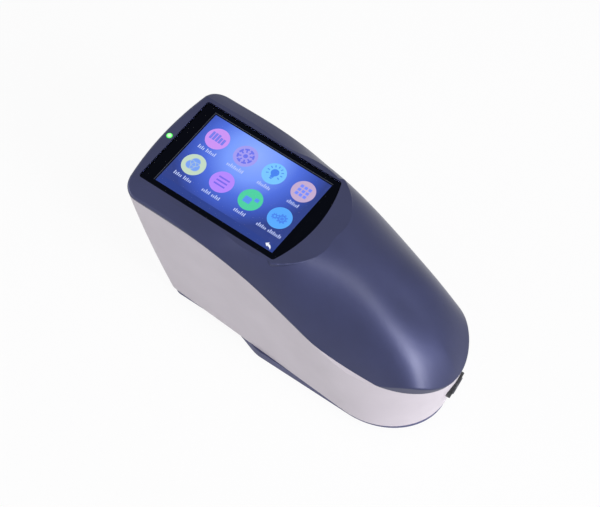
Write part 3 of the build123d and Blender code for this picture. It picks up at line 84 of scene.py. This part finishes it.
def grained(name, tones, rough, spots, bump, depth, inputs=None):
    """Fine surface: colour that drifts between two tones, roughness that varies, and a small bump.

    spots and bump are sizes in millimetres, and depth is the bump's height. The real grain of most of these
    finishes is finer than 0.2 mm, which is too fine to show, so bump is as coarse as it needs to show.
    """
    material, tree, shader = finish_of(name, inputs or {})
    place = add(tree, "ShaderNodeTexCoord").outputs["Object"]
    drift = add(tree, "ShaderNodeTexNoise", {"Vector": place, "Scale": 1 / (spots * MM), "Detail": 3.0})
    fine = add(tree, "ShaderNodeTexNoise", {"Vector": place, "Scale": 1 / (bump * MM), "Detail": 2.0})
    ramp = add(tree, "ShaderNodeValToRGB", {"Fac": drift.outputs["Fac"]})
    for stop, position, tone in zip(ramp.color_ramp.elements, (0.3, 0.7), tones):
        stop.position, stop.color = position, linear(tone)
    spread = add(
        tree, "ShaderNodeMapRange", {"Value": fine.outputs["Fac"], "To Min": rough[0], "To Max": rough[1]},
    )
    relief = add(
        tree, "ShaderNodeBump", {"Height": fine.outputs["Fac"], "Strength": 1.0, "Distance": depth * MM},
    )
    tree.links.new(ramp.outputs["Color"], shader.inputs["Base Color"])
    tree.links.new(spread.outputs["Result"], shader.inputs["Roughness"])
    tree.links.new(relief.outputs["Normal"], shader.inputs["Normal"])
    return material


def glow_from(tree, shader, middle, reach, stops):
    """Emitted colour that changes with the level distance from a middle; stops count in reaches."""
    place = add(tree, "ShaderNodeTexCoord").outputs["Object"]
    centred = add(
        tree, "ShaderNodeMapping",
        {"Vector": place, "Location": (-middle[0] / reach[0], -middle[1] / reach[1], 0),
         "Scale": (1 / (reach[0] * MM), 1 / (reach[1] * MM), 0.001)},
    )
    away = add(tree, "ShaderNodeVectorMath", {"Vector": centred.outputs["Vector"]}, operation="LENGTH")
    glow = add(tree, "ShaderNodeValToRGB", {"Fac": away.outputs["Value"]})
    for index, (position, code) in enumerate(stops):
        fresh = index >= len(glow.color_ramp.elements)
        stop = glow.color_ramp.elements.new(position) if fresh else glow.color_ramp.elements[index]
        stop.position, stop.color = position, linear(code)
    tree.links.new(glow.outputs["Color"], shader.inputs["Emission Color"])


# Satin metallic-flake paint on moulded ABS: soft broad highlight, very fine grain
satin_paint = grained(
    "satin_flake_paint_on_abs", ("#232950", "#272D56"), (0.46, 0.56), spots=18, bump=0.45, depth=0.003,
    inputs={"Metallic": 0.6, "Coat Weight": 0.5, "Coat Roughness": 0.34},
)
# Base moulding in the same colour, unpainted: duller and a little coarser
base_abs = grained(
    "spark_eroded_abs_blue_grey", ("#434667", "#494C6F"), (0.5, 0.62), spots=9, bump=0.6, depth=0.006,
    inputs={"Specular IOR Level": 0.4},
)
# Pale body moulding: even, matt to satin, with the fine bloom of a textured mould
pale_abs = grained(
    "fine_textured_abs_pale_grey", ("#BCB6BC", "#C2BCC2"), (0.46, 0.56), spots=25, bump=0.55, depth=0.003,
    inputs={"Specular IOR Level": 0.45},
)
# Black moulded ABS of bezel, cradle, holders and small parts: nearly black with a soft sheen
black_abs = grained(
    "moulded_abs_black", ("#17181D", "#1D1E24"), (0.38, 0.52), spots=5, bump=0.4, depth=0.004,
)
# Dark satin keycap with a slightly polished touch face
keycap = grained(
    "polished_pc_abs_keycap_dark_grey", ("#2B2D38", "#31333F"), (0.28, 0.38), spots=4, bump=0.4, depth=0.002,
    inputs={"Coat Weight": 0.2, "Coat Roughness": 0.2},
)
# Soft foot rubber: deep matt
pad_rubber = grained(
    "moulded_rubber_black", ("#141416", "#1A1A1C"), (0.75, 0.9), spots=3, bump=0.35, depth=0.01,
)
# Black anodised aluminium: dark, dry sheen with turned texture
black_anodised = grained(
    "anodised_aluminium_black", ("#131316", "#1A1A1E"), (0.32, 0.44), spots=6, bump=0.3, depth=0.002,
    inputs={"Metallic": 0.9},
)
# Milled aluminium of deck and heat sink: pale grey metal, its shine broken up by fine tool marks
milled_aluminium = grained(
    "milled_aluminium", ("#B4B7BC", "#C0C3C8"), (0.28, 0.42), spots=4, bump=0.5, depth=0.004,
    inputs={"Metallic": 1.0},
)
# Zinc plated sheet of carrier, strap and cans: light grey metal with an uneven sheen
plated_sheet = grained(
    "zinc_plated_steel_sheet", ("#A5A8AA", "#B3B6B8"), (0.25, 0.4), spots=3, bump=0.6, depth=0.003,
    inputs={"Metallic": 1.0},
)
# Zinc plated screws: shinier and slightly blue
plated_screw = grained(
    "zinc_plated_screw_steel", ("#8F949C", "#A0A5AC"), (0.22, 0.34), spots=1.5, bump=0.3, depth=0.003,
    inputs={"Metallic": 1.0},
)
# Painted shade of a drive recess: nearly black and dull
painted_recess_shade = grained(
    "painted_shade_of_drive_recess", ("#1B1C1F", "#232529"), (0.5, 0.65), spots=0.8, bump=0.2, depth=0.004,
)
# Turned brass of standoffs and posts: warm yellow shine
turned_brass = grained(
    "turned_brass", ("#B8964A", "#C6A458"), (0.2, 0.32), spots=2, bump=0.3, depth=0.003,
    inputs={"Metallic": 1.0},
)
# Barium sulphate coating of the sphere: flat, chalky white
sphere_white = grained(
    "barium_sulphate_white_coating", ("#EDEDE9", "#F2F2EF"), (0.9, 1.0), spots=2, bump=0.3, depth=0.01,
    inputs={"Specular IOR Level": 0.1},
)
# Solder mask over glass-fibre board: glossy green, faint weave below it
solder_mask = grained(
    "solder_mask_on_fibreglass", ("#0F4A26", "#145A2F"), (0.2, 0.34), spots=1.2, bump=0.8, depth=0.006,
    inputs={"Coat Weight": 0.4},
)
# Moulded epoxy of chips: matt charcoal
chip_epoxy = grained(
    "moulded_epoxy_black", ("#1C1C1F", "#242428"), (0.55, 0.7), spots=0.8, bump=0.15, depth=0.004,
)
# Ceramic package of the small lamps: pale yellow and dull, from the phosphor on it
lamp_ceramic = grained(
    "led_ceramic_and_phosphor", ("#EBDD9A", "#F3ECC8"), (0.4, 0.55), spots=0.7, bump=0.2, depth=0.003,
)
# Polyimide film of the ribbon: amber over copper
polyimide = grained(
    "polyimide_film_on_copper", ("#A8641B", "#BE7B2B"), (0.18, 0.28), spots=1.0, bump=0.4, depth=0.002,
)
# Shrink film of the battery cells: glossy blue, with slow ripples
cell_wrap = grained(
    "pvc_shrink_film_blue", ("#1D4E86", "#235A98"), (0.16, 0.26), spots=7, bump=2.2, depth=0.02,
)
# Front-coated mirror of fold mirror and grating: an almost sharp mirror image
mirror_coat = plain(
    "aluminised_optical_glass", {"Base Color": linear("#E3E5E8"), "Metallic": 1.0, "Roughness": 0.04},
)
# Polished optical glass of the lens: clear, with sharp reflections
lens_glass = plain(
    "polished_crown_glass",
    {"Base Color": linear("#F4FBFA"), "Roughness": 0.01, "IOR": 1.52, "Transmission Weight": 1.0},
)
# Hardened cover glass with an anti-reflection coat: hardly any mirror image, deep black below
cover_glass = plain(
    "coated_cover_glass",
    {"Base Color": linear("#FFFFFF"), "Roughness": 0.0, "IOR": 1.02, "Transmission Weight": 1.0},
)
# Black enamel printed on the glass round the screen, with a faint painted glow for the dim reflection it has
# through the glass
border_print_with_painted_glow = plain(
    "screen_printed_enamel_black_with_painted_glow",
    {"Base Color": linear("#000000"), "Roughness": 1.0, "IOR": 1.0, "Emission Color": linear("#090B12"),
     "Emission Strength": 1.0},
)
# Unlit charge lens: milky pinkish acrylic
charge_lens = plain(
    "milky_acrylic_pink", {"Base Color": linear("#D9A9C0"), "Roughness": 0.25, "Subsurface Weight": 0.2},
)

# Lit liquid crystal picture: its own light, darker corners; its bright patch at the upper middle is a painted
# reflection
SCREEN_X = -40.55
SCREEN_HALF = (36.72, 24.48)
LIT_PANEL = {
    "Base Color": linear("#05060C"), "Roughness": 0.4, "Specular IOR Level": 0.0, "Emission Strength": 1.0,
}
backlit_picture_and_painted_reflection, tree, shader = finish_of("backlit_liquid_crystal_blue_and_painted_reflection", LIT_PANEL)
PICTURE_AND_PAINTED_REFLECTION_STOPS = ((0.0, "#93B2FF"), (0.35, "#7A9DFF"), (0.6, "#5372E0"), (0.82, "#4059BC"), (1.0, "#35458C"))
glow_from(tree, shader, middle=(SCREEN_X - 5, 16), reach=(40, 42), stops=PICTURE_AND_PAINTED_REFLECTION_STOPS)

# Lit picture elements: each takes its tint from the mesh
lit_tint, tree, shader = finish_of("backlit_liquid_crystal_tints", LIT_PANEL)
tint = add(tree, "ShaderNodeAttribute", attribute_name="tint")
tree.links.new(tint.outputs["Color"], shader.inputs["Emission Color"])

# Status lens: clear green acrylic over a lit lamp, almost white in its middle
STATUS_X = -87.85
STATUS_REACH = 1.65
status_lens, tree, shader = finish_of(
    "lit_acrylic_lens_green", {"Base Color": linear("#2FBF3C"), "Roughness": 0.15, "Emission Strength": 1.15},
)
glow_from(
    tree, shader, middle=(STATUS_X, 0), reach=(STATUS_REACH, STATUS_REACH),
    stops=((0.25, "#D8FFD2"), (0.95, "#18C838")),
)

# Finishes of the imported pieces
FINISHES = {
    satin_paint: ("top_shell",),
    base_abs: ("bottom_tray",),
    pale_abs: ("body_shell",),
    cover_glass: ("display_glass",),
    black_abs: (
        "buzzer", "lamp_holder", "camera_module", "battery_cradle", "socket_tongue", "power_knob",
        "button_bezel", "button_switch", "display_module",
    ),
    keycap: ("measure_button",),
    pad_rubber: ("rubber_pads",),
    black_anodised: (
        "aperture_ring", "lens_tube", "fold_block", "spectrometer_box", "spectrometer_lid", "slit_plate",
    ),
    milled_aluminium: ("heat_sink", "optics_deck"),
    plated_sheet: ("display_carrier", "battery_strap", "radio_module", "charge_socket", "switch_body"),
    plated_screw: (
        "display_screws", "board_screws", "sphere_screws", "foot_screws", "deck_screws", "tray_screws",
        "case_screws",
    ),
    turned_brass: ("board_standoffs", "deck_posts"),
    sphere_white: ("sphere_lower", "sphere_upper"),
    solder_mask: ("status_board", "main_board", "lamp_board", "sensor_board", "port_board", "button_board"),
    chip_epoxy: ("board_chips",),
    lamp_ceramic: ("status_lamp", "lamp_leds"),
    polyimide: ("display_ribbon",),
    cell_wrap: ("battery_cells",),
    mirror_coat: ("fold_mirror", "concave_grating"),
    lens_glass: ("collecting_lens",),
    status_lens: ("status_light",),
    charge_lens: ("charge_light",),
}
for material, names in FINISHES.items():
    for name in names:
        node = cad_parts[name]
        if not node.material_slots:
            node.data.materials.append(material)
        for material_slot in node.material_slots:
            material_slot.material = material


# Outlines, in millimetres
def polar(x, y, reach, degrees):
    """Point at a reach and an angle from a middle."""
    angle = math.radians(degrees)
    return (x + reach * math.cos(angle), y + reach * math.sin(angle))


def circle(x, y, radius, count=40, start=0.0, turn=360.0):
    """Points of a circle, or of part of one."""
    steps = count if turn == 360.0 else count - 1
    return [polar(x, y, radius, start + turn * i / steps) for i in range(count)]


def bar(x, y, length, width):
    """Corners of a bar about its middle."""
    corners = ((-length, -width), (length, -width), (length, width), (-length, width))
    return [(x + a / 2, y + b / 2) for a, b in corners]


def rounded(x, y, length, width, radius):
    """Outline of a rounded rectangle about its middle."""
    points = []
    for sx, sy, start in ((1, 1, 0), (-1, 1, 90), (-1, -1, 180), (1, -1, 270)):
        cx, cy = x + sx * (length / 2 - radius), y + sy * (width / 2 - radius)
        points += circle(cx, cy, radius, 6, start, 90.0)
    return points


def gear(x, y, radius, teeth, depth):
    """Outline of a gear wheel with straight-sided teeth."""
    tooth = ((-0.3, radius - depth), (-0.2, radius), (0.2, radius), (0.3, radius - depth))
    return [polar(x, y, reach, 360 * (i + share) / teeth) for i in range(teeth) for share, reach in tooth]


def along_line(start, end, count):
    """Even points from start up to, and without, end."""
    return [tuple(a + (b - a) * i / count for a, b in zip(start, end)) for i in range(count)]


# Mesh pieces
def new_plates():
    """An empty mesh whose faces carry a tint."""
    bm = bmesh.new()
    bm.loops.layers.float_color.new("tint")
    return bm


def add_plate(bm, outline, low, high, code, hole=None):
    """A thin plate with upright edges; a hole has as many points as the outline."""
    def ring(points, height):
        return [bm.verts.new((x * MM, y * MM, height * MM)) for x, y in points]

    def side(lower, upper):
        pairs = zip(lower, lower[1:] + lower[:1], upper[1:] + upper[:1], upper)
        return [bm.faces.new(corners) for corners in pairs]

    bottom, top = ring(outline, low), ring(outline, high)
    faces = side(bottom, top)
    if hole is None:
        faces += [bm.faces.new(top), bm.faces.new(bottom[::-1])]
    else:
        inner_bottom, inner_top = ring(hole, low), ring(hole, high)
        faces += side(inner_top, inner_bottom) + side(top, inner_top) + side(inner_bottom, bottom)
    tint_layer = bm.loops.layers.float_color["tint"]
    for face in faces:
        for loop in face.loops:
            loop[tint_layer] = linear(code)


def make_piece(name, mesh, material):
    """A finished mesh piece that rides on the housing."""
    mesh.materials.clear()
    mesh.materials.append(material)
    made = bpy.data.objects.new(name, mesh)
    bpy.context.collection.objects.link(made)
    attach(made, HOUSING)


def plates_piece(name, bm, material):
    """A piece of plates."""
    mesh = bpy.data.meshes.new(name)
    bm.to_mesh(mesh)
    bm.free()
    make_piece(name, mesh, material)


def blocks_tree(name, material):
    """Geometry Nodes: a block on every point, sized by size, turned by turn, as deep as Block Depth."""
    tree = bpy.data.node_groups.new(name, "GeometryNodeTree")
    tree.interface.new_socket("Geometry", in_out="INPUT", socket_type="NodeSocketGeometry")
    tree.interface.new_socket("Block Depth", in_out="INPUT", socket_type="NodeSocketFloat")
    tree.interface.new_socket("Geometry", in_out="OUTPUT", socket_type="NodeSocketGeometry")
    given = add(tree, "NodeGroupInput")
    size = add(tree, "GeometryNodeInputNamedAttribute", {"Name": "size"}, data_type="FLOAT_VECTOR")
    turn = add(tree, "GeometryNodeInputNamedAttribute", {"Name": "turn"}, data_type="FLOAT_VECTOR")
    spin = add(tree, "FunctionNodeEulerToRotation", {"Euler": turn.outputs["Attribute"]})
    shape = add(tree, "ShaderNodeCombineXYZ", {"X": MM, "Y": MM, "Z": given.outputs["Block Depth"]})
    cube = add(tree, "GeometryNodeMeshCube", {"Size": shape.outputs["Vector"]})
    placed = add(
        tree, "GeometryNodeInstanceOnPoints",
        {"Points": given.outputs["Geometry"], "Instance": cube.outputs["Mesh"],
         "Rotation": spin.outputs["Rotation"], "Scale": size.outputs["Attribute"]},
    )
    real = add(tree, "GeometryNodeRealizeInstances", {"Geometry": placed.outputs["Instances"]})
    finished = add(
        tree, "GeometryNodeSetMaterial", {"Geometry": real.outputs["Geometry"], "Material": material},
    )
    add(tree, "NodeGroupOutput", {"Geometry": finished.outputs["Geometry"]})
    return tree


def blocks_piece(name, blocks, material, depth):
    """A piece of blocks; each has its middle, its size, its turn in degrees and its tint."""
    points = bpy.data.meshes.new(name + "_points")
    points.from_pydata([[value * MM for value in at] for at, _, _, _ in blocks], [], [])
    for attribute, kind in (("size", "FLOAT_VECTOR"), ("turn", "FLOAT_VECTOR"), ("tint", "FLOAT_COLOR")):
        points.attributes.new(attribute, kind, "POINT")
    for index, (_, size, turn, code) in enumerate(blocks):
        points.attributes["size"].data[index].vector = size
        points.attributes["turn"].data[index].vector = (0.0, 0.0, math.radians(turn))
        points.attributes["tint"].data[index].color = linear(code)
    source = bpy.data.objects.new(name + "_source", points)
    bpy.context.collection.objects.link(source)
    made_by = source.modifiers.new("blocks", "NODES")
    made_by.node_group = blocks_tree(name, material)
    inputs = [item for item in made_by.node_group.interface.items_tree if item.in_out == "INPUT"]
    sockets = {item.name: item.identifier for item in inputs}
    made_by[sockets["Block Depth"]] = depth * MM
    graph = bpy.context.evaluated_depsgraph_get()
    mesh = bpy.data.meshes.new_from_object(source.evaluated_get(graph))
    mesh.name = name
    source.modifiers.remove(made_by)
    bpy.data.objects.remove(source)
    make_piece(name, mesh, material)


# Layers of the lit picture, in tenths of the gap between the display module and the glass
MODULE_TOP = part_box("display_module")[1][2] / MM
GLASS_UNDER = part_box("display_glass")[0][2] / MM
LAYER = (GLASS_UNDER - MODULE_TOP) / 10
PLATE = 0.8
STRIP_LEVEL, TILE_LEVEL, WORD_LEVEL, SIGN_LEVEL, DETAIL_LEVEL = 1.9, 2.5, 3, 5, 6


def level(steps):
    """Height of a layer between the display module and the glass."""
    return MODULE_TOP + LAYER * steps


def picture_bar(reach):
    """Corners of the picture's area with a margin all round."""
    return bar(SCREEN_X, 0, 2 * (SCREEN_HALF[0] + reach), 2 * (SCREEN_HALF[1] + reach))


plates = new_plates()
add_plate(plates, picture_bar(0), level(0.5), level(1), "#4556B4")
plates_piece("screen_picture", plates, backlit_picture_and_painted_reflection)

# Black edge of the module that shows round the picture, with its thin pale line: the metal frame, glowing as
# a painted highlight
EDGE = 1.5
EDGE_LINES = ((EDGE, EDGE, 0.5, 1.0, "#07080C"), (1.0, 0.26, 1.2, 1.4, "#4E525E"))
plates = new_plates()
for reach, width, low, high, code in EDGE_LINES:
    add_plate(plates, picture_bar(reach), level(low), level(high), code, hole=picture_bar(reach - width))
plates_piece("screen_edge", plates, lit_tint)

# Round tiles with generic signs, in two rows; plates and blocks are gathered first
signs = new_plates()
blocks = []


def sign(outline, code, step=SIGN_LEVEL, hole=None):
    """Add one flat plate of the picture."""
    add_plate(signs, outline, level(step - PLATE), level(step), code, hole)


def block(x, y, length, width, code, turn=0.0, step=SIGN_LEVEL):
    """Note one plain block of the picture; all are made together."""
    blocks.append(((x, y, level(step - PLATE / 2)), (length, width, 1.0), turn, code))


# Signs, each drawn about its tile's middle; tile_code is for what lies in the tile's own colour
def upright_bars(x, y, code, tile_code):
    for i in range(5):
        tall = i < 3
        block(x - 3.7 + 1.85 * i, y + (0.5 if tall else -0.1), 1.4, 4.6 if tall else 3.6, code)


def dial_wheel(x, y, code, tile_code):
    for i in range(8):
        start = 45 * i + 5
        outer, inner = circle(x, y, 4.6, 8, start, 35.0), circle(x, y, 3.6, 8, start, 35.0)
        sign(outer + inner[::-1], code)
        spoke = 45 * i + 22.5
        block(*polar(x, y, 2.9, spoke), 1.5, 0.8, code, spoke)
    sign(circle(x, y, 1.2, 24), code)


def lamp_with_rays(x, y, code, tile_code):
    bulb = y + 0.7
    sign(circle(x, bulb, 2.2, 28), code)
    sign(rounded(x, y - 1.8, 1.9, 1.5, 0.4), code, step=SIGN_LEVEL + 0.1)
    sign(rounded(x, y - 3.1, 1.5, 0.7, 0.3), code)
    for ray in range(-30, 211, 30):
        block(*polar(x, bulb, 3.9, ray), 1.3, 0.5, code, ray)


def grid_of_squares(x, y, code, tile_code):
    for i in (-1, 0, 1):
        for j in (-1, 0, 1):
            block(x + 2.4 * i, y + 2.4 * j, 1.8, 1.8, code)


def overlapping_rings(x, y, code, tile_code):
    for i, turn in enumerate((90, 210, 330)):
        middle = polar(x, y, 1.6, turn)
        sign(circle(*middle, 2.7, 32), code, step=4 + 0.5 * i)
        sign(circle(*middle, 2.7, 32), "#BFD3D0", step=7 + 0.2 * i, hole=circle(*middle, 2.5, 32))


def three_lines(x, y, code, tile_code):
    for i in (-1, 0, 1):
        block(x, y + 2.2 * i, 6.6, 0.9, code)


def two_squares(x, y, code, tile_code):
    sign(rounded(x - 1.3, y - 0.8, 4.2, 3.8, 0.5), code)
    sign(rounded(x + 2.9, y + 1.5, 2.4, 2.2, 0.4), code)
    sign(rounded(x + 0.9, y + 1.2, 1.2, 1.1, 0.3), tile_code, step=DETAIL_LEVEL)


def two_gears(x, y, code, tile_code):
    large, small = (x + 1.3, y + 0.2), (x - 2.7, y - 0.5)
    sign(gear(*large, 2.9, 9, 0.7), code)
    sign(circle(*large, 1.3, 24), tile_code, step=DETAIL_LEVEL, hole=circle(*large, 1.0, 24))
    sign(gear(*small, 1.8, 8, 0.5), code)
    sign(circle(*small, 0.6, 20), tile_code, step=DETAIL_LEVEL)


# Shares of the picture's length and height, and for each tile its colour, its sign's colour, its sign,
# and how many small blocks stand in each word below it
TILE_RADIUS = 6.4
COLUMN_SHARES = (0.134, 0.378, 0.624, 0.873)
ROW_SHARES = ((0.23, 0.415), (0.625, 0.815))
TILES = (
    (
        ("#CE96F6", "#7A80EE", upright_bars, (4, 6)), ("#A49EF4", "#6E77EE", dial_wheel, (10,)),
        ("#7CC8FF", "#4C86F2", lamp_with_rays, (8,)), ("#C6AED2", "#7C90FF", grid_of_squares, (7,)),
    ),
    (
        ("#C6DCC6", "#7CA4F6", overlapping_rings, (5, 5)), ("#B68AFF", "#7A6CEC", three_lines, (5, 5)),
        ("#52D2A4", "#5C96F2", two_squares, (7,)), ("#5CACFF", "#4C86F0", two_gears, (6, 8)),
    ),
)
BLOCK_WIDTH, BLOCK_STEP, WORD_GAP, WORD_DROP = 0.5, 1.02, 0.9, 0.6
WORD_CODE = "#C2D0FF"
BLOCK_HEIGHTS = (2.2, 1.4, 1.6, 1.35, 2.0)


def words(x, foot, counts, column):
    """Rows of small plain blocks where the words stand."""
    total = sum(counts) * BLOCK_STEP + WORD_GAP * (len(counts) - 1)
    at = x - total / 2 + BLOCK_STEP / 2
    for count in counts:
        for i in range(count):
            height = BLOCK_HEIGHTS[(i * 2 + column) % len(BLOCK_HEIGHTS)]
            block(at, foot + height / 2, BLOCK_WIDTH, height, WORD_CODE, step=WORD_LEVEL)
            at += BLOCK_STEP
        at += WORD_GAP


for row, shares in zip(TILES, ROW_SHARES):
    tile_y, word_y = [SCREEN_HALF[1] * (1 - 2 * share) for share in shares]
    for column, (tile_code, sign_code, draw, counts) in enumerate(row):
        tile_x = SCREEN_X + SCREEN_HALF[0] * (2 * COLUMN_SHARES[column] - 1)
        sign(circle(tile_x, tile_y, TILE_RADIUS, 64), tile_code, step=TILE_LEVEL)
        draw(tile_x, tile_y, sign_code, tile_code)
        words(tile_x, word_y - WORD_DROP, counts, column)

# Dark strip along the foot of the picture, with a return arrow
STRIP = 4.2
ARROW = (SCREEN_X + 32.6, -22.4)
ARROW_HEAD = ((-2.0, 0.6), (-0.4, 2.0), (-0.4, -0.8))
ARROW_TAIL = ((-0.5, 1.1), (0.9, 0.8), (1.8, -0.2), (2.1, -1.4), (1.1, -0.5), (-0.5, -0.1))
sign(bar(SCREEN_X, STRIP / 2 - SCREEN_HALF[1], 2 * SCREEN_HALF[0], STRIP), "#31448F", step=STRIP_LEVEL)
for outline, step in ((ARROW_HEAD, SIGN_LEVEL), (ARROW_TAIL, SIGN_LEVEL - 0.1)):
    sign([(ARROW[0] + a, ARROW[1] + b) for a, b in outline], "#F2F5FF", step=step)
plates_piece("screen_signs", signs, lit_tint)
blocks_piece("screen_blocks", blocks, lit_tint, PLATE * LAYER)

# Cross drives in the screws of the tray, as blocks of painted shade where the recesses are, each turned as it
# was tightened
SCREW_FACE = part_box("tray_screws")[0][2] / MM
DRIVE_DEPTH, DRIVE_PROUD = 0.3, 0.03
DRIVE_ARM = (2.5, 0.55, 1.0)
DRIVES = ((74.25, 0.0, 12), (-32.75, 19.4, 50), (-32.75, -19.4, 27), (6.25, 24.2, 71), (6.25, -24.2, 38))
arms = [
    ((x, y, SCREW_FACE + DRIVE_DEPTH / 2 - DRIVE_PROUD), DRIVE_ARM, turn + quarter, "#1B1C1F")
    for x, y, turn in DRIVES for quarter in (0, 90)
]
blocks_piece("tray_screw_drive_shade", arms, painted_recess_shade, DRIVE_DEPTH)

# Black print just inside the glass's underside, with the window that reaches a little past the picture
PAST_HEAD, PAST_GRIP, PAST_NEAR, PAST_FAR = 1.3, 0.25, 0.25, 1.2
GLASS_LOW, GLASS_HIGH = [Vector(corner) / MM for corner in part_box("display_glass")]
BORDER_INSET, BOW, STEPS = 0.35, 5.7, 16
PRINT_LOW, PRINT_HIGH = GLASS_UNDER + 0.02, GLASS_UNDER + 0.05
head, half = GLASS_LOW.x + BORDER_INSET, GLASS_HIGH.y - BORDER_INSET
tip = GLASS_HIGH.x - BORDER_INSET
window_x = (SCREEN_X - SCREEN_HALF[0] - PAST_HEAD, SCREEN_X + SCREEN_HALF[0] + PAST_GRIP)
window_y = (-SCREEN_HALF[1] - PAST_NEAR, SCREEN_HALF[1] + PAST_FAR)
window = [(window_x[a], window_y[b]) for a, b in ((0, 0), (1, 0), (1, 1), (0, 1))]
bowed_end = [(tip - BOW * share * share, half * share) for share in (2 * i / STEPS - 1 for i in range(STEPS))]
outer = along_line((head, -half), (tip - BOW, -half), STEPS) + bowed_end
outer += along_line((tip - BOW, half), (head, half), STEPS) + along_line((head, half), (head, -half), STEPS)
inner = []
for corner, following in zip(window, window[1:] + window[:1]):
    inner += along_line(corner, following, STEPS)
plates = new_plates()
add_plate(plates, outer, PRINT_LOW, PRINT_HIGH, "#050507", hole=inner)
plates_piece("glass_print", plates, border_print_with_painted_glow)


# Floor and background: white to the eye and in reflections, with the object's soft shadow kept
def seen_share(tree):
    """1 for rays from the camera, off a shiny surface and through glass, and 0 for all others."""
    ray = add(tree, "ShaderNodeLightPath").outputs
    seen = add(
        tree, "ShaderNodeMath", {0: ray["Is Camera Ray"], 1: ray["Is Glossy Ray"]}, operation="MAXIMUM",
    ).outputs["Value"]
    return add(
        tree, "ShaderNodeMath", {0: seen, 1: ray["Is Transmission Ray"]}, operation="MAXIMUM",
    ).outputs["Value"]


FLOOR_REACH = 3.0
FLOOR_DROP = 0.0002
FLOOR_WHITE = 0.93
floor_white, tree, shader = finish_of(
    "pale_paper_floor", {"Base Color": linear("#F2F2F2"), "Roughness": 0.9, "Specular IOR Level": 0.0},
)
share = add(tree, "ShaderNodeMath", {0: seen_share(tree), 1: FLOOR_WHITE}, operation="MULTIPLY")
white = add(tree, "ShaderNodeEmission", {"Color": linear("#FFFFFF"), "Strength": 1.0})
mixed = add(
    tree, "ShaderNodeMixShader",
    {"Fac": share.outputs["Value"], 1: shader.outputs["BSDF"], 2: white.outputs["Emission"]},
)
tree.links.new(mixed.outputs["Shader"], tree.nodes["Material Output"].inputs["Surface"])
bm = bmesh.new()
bmesh.ops.create_grid(bm, x_segments=1, y_segments=1, size=FLOOR_REACH)
floor_mesh = bpy.data.meshes.new("floor")
bm.to_mesh(floor_mesh)
bm.free()
floor_mesh.materials.append(floor_white)
floor = bpy.data.objects.new("floor", floor_mesh)
bpy.context.collection.objects.link(floor)
floor.location.z = -FLOOR_DROP

world = bpy.data.worlds.new("studio")
bpy.context.scene.world = world
world.use_nodes = True
tree = world.node_tree
lit = add(tree, "ShaderNodeBackground", {"Color": linear("#FAF7FF"), "Strength": 0.4})
shown = add(tree, "ShaderNodeBackground", {"Color": linear("#FFFFFF"), "Strength": 1.0})
chosen = add(
    tree, "ShaderNodeMixShader",
    {"Fac": seen_share(tree), 1: lit.outputs["Background"], 2: shown.outputs["Background"]},
)
tree.links.new(chosen.outputs["Shader"], tree.nodes["World Output"].inputs["Surface"])

# Soft boxes, all aimed at the middle of the object
LAMP_AIM = Vector((0.0, 0.0, 0.05))


def add_lamp(name, place, size, power, tint="#FFFFFF"):
    """A rectangular soft box that faces the object; place and size in metres."""
    data = bpy.data.lights.new(name, "AREA")
    data.shape = "RECTANGLE"
    data.size, data.size_y = size
    data.energy = power
    data.color = linear(tint)[:3]
    lamp = bpy.data.objects.new(name, data)
    lamp.location = place
    lamp.rotation_euler = (LAMP_AIM - Vector(place)).to_track_quat("-Z", "Y").to_euler()
    bpy.context.collection.objects.link(lamp)


add_lamp("tall_soft_box_at_tail", (1.25, -0.27, 0.72), (0.5, 0.9), 10.0, tint="#FCFBFF")
add_lamp("low_soft_box_at_tail", (1.2, -0.24, 0.17), (0.26, 0.34), 6.5, tint="#FCFBFF")
add_lamp("soft_box_at_head", (-1.0, -0.8, 0.3), (0.6, 0.5), 5.0)
add_lamp("soft_box_over_grip", (0.65, -0.06, 1.15), (0.45, 0.35), 2.8)

# Camera at the photograph's angle
AZIMUTH, ELEVATION, ROLL = (math.radians(value) for value in (39.766, 57.49, -3.063))
TARGET = Vector((-0.010831, 0.005262, 0.0587))
DISTANCE = 1.306
FOCAL_LENGTH, SENSOR = 153.66, 36.0
back = Vector((
    math.sin(AZIMUTH) * math.cos(ELEVATION), -math.cos(AZIMUTH) * math.cos(ELEVATION), math.sin(ELEVATION),
))
level_right = Vector((0, 0, 1)).cross(back).normalized()
level_up = back.cross(level_right)
right = math.cos(ROLL) * level_right + math.sin(ROLL) * level_up
up = math.cos(ROLL) * level_up - math.sin(ROLL) * level_right
eye = TARGET + back * DISTANCE
camera_data = bpy.data.cameras.new("camera")
camera_data.sensor_fit = "HORIZONTAL"
camera_data.sensor_width = SENSOR
camera_data.lens = FOCAL_LENGTH
camera_data.clip_start, camera_data.clip_end = 0.05, 20.0
camera = bpy.data.objects.new("camera", camera_data)
camera.matrix_world = Matrix((
    (right.x, up.x, back.x, eye.x), (right.y, up.y, back.y, eye.y), (right.z, up.z, back.z, eye.z),
    (0, 0, 0, 1),
))
bpy.context.collection.objects.link(camera)
bpy.context.scene.camera = camera

bpy.context.scene.view_settings.view_transform = "Standard"
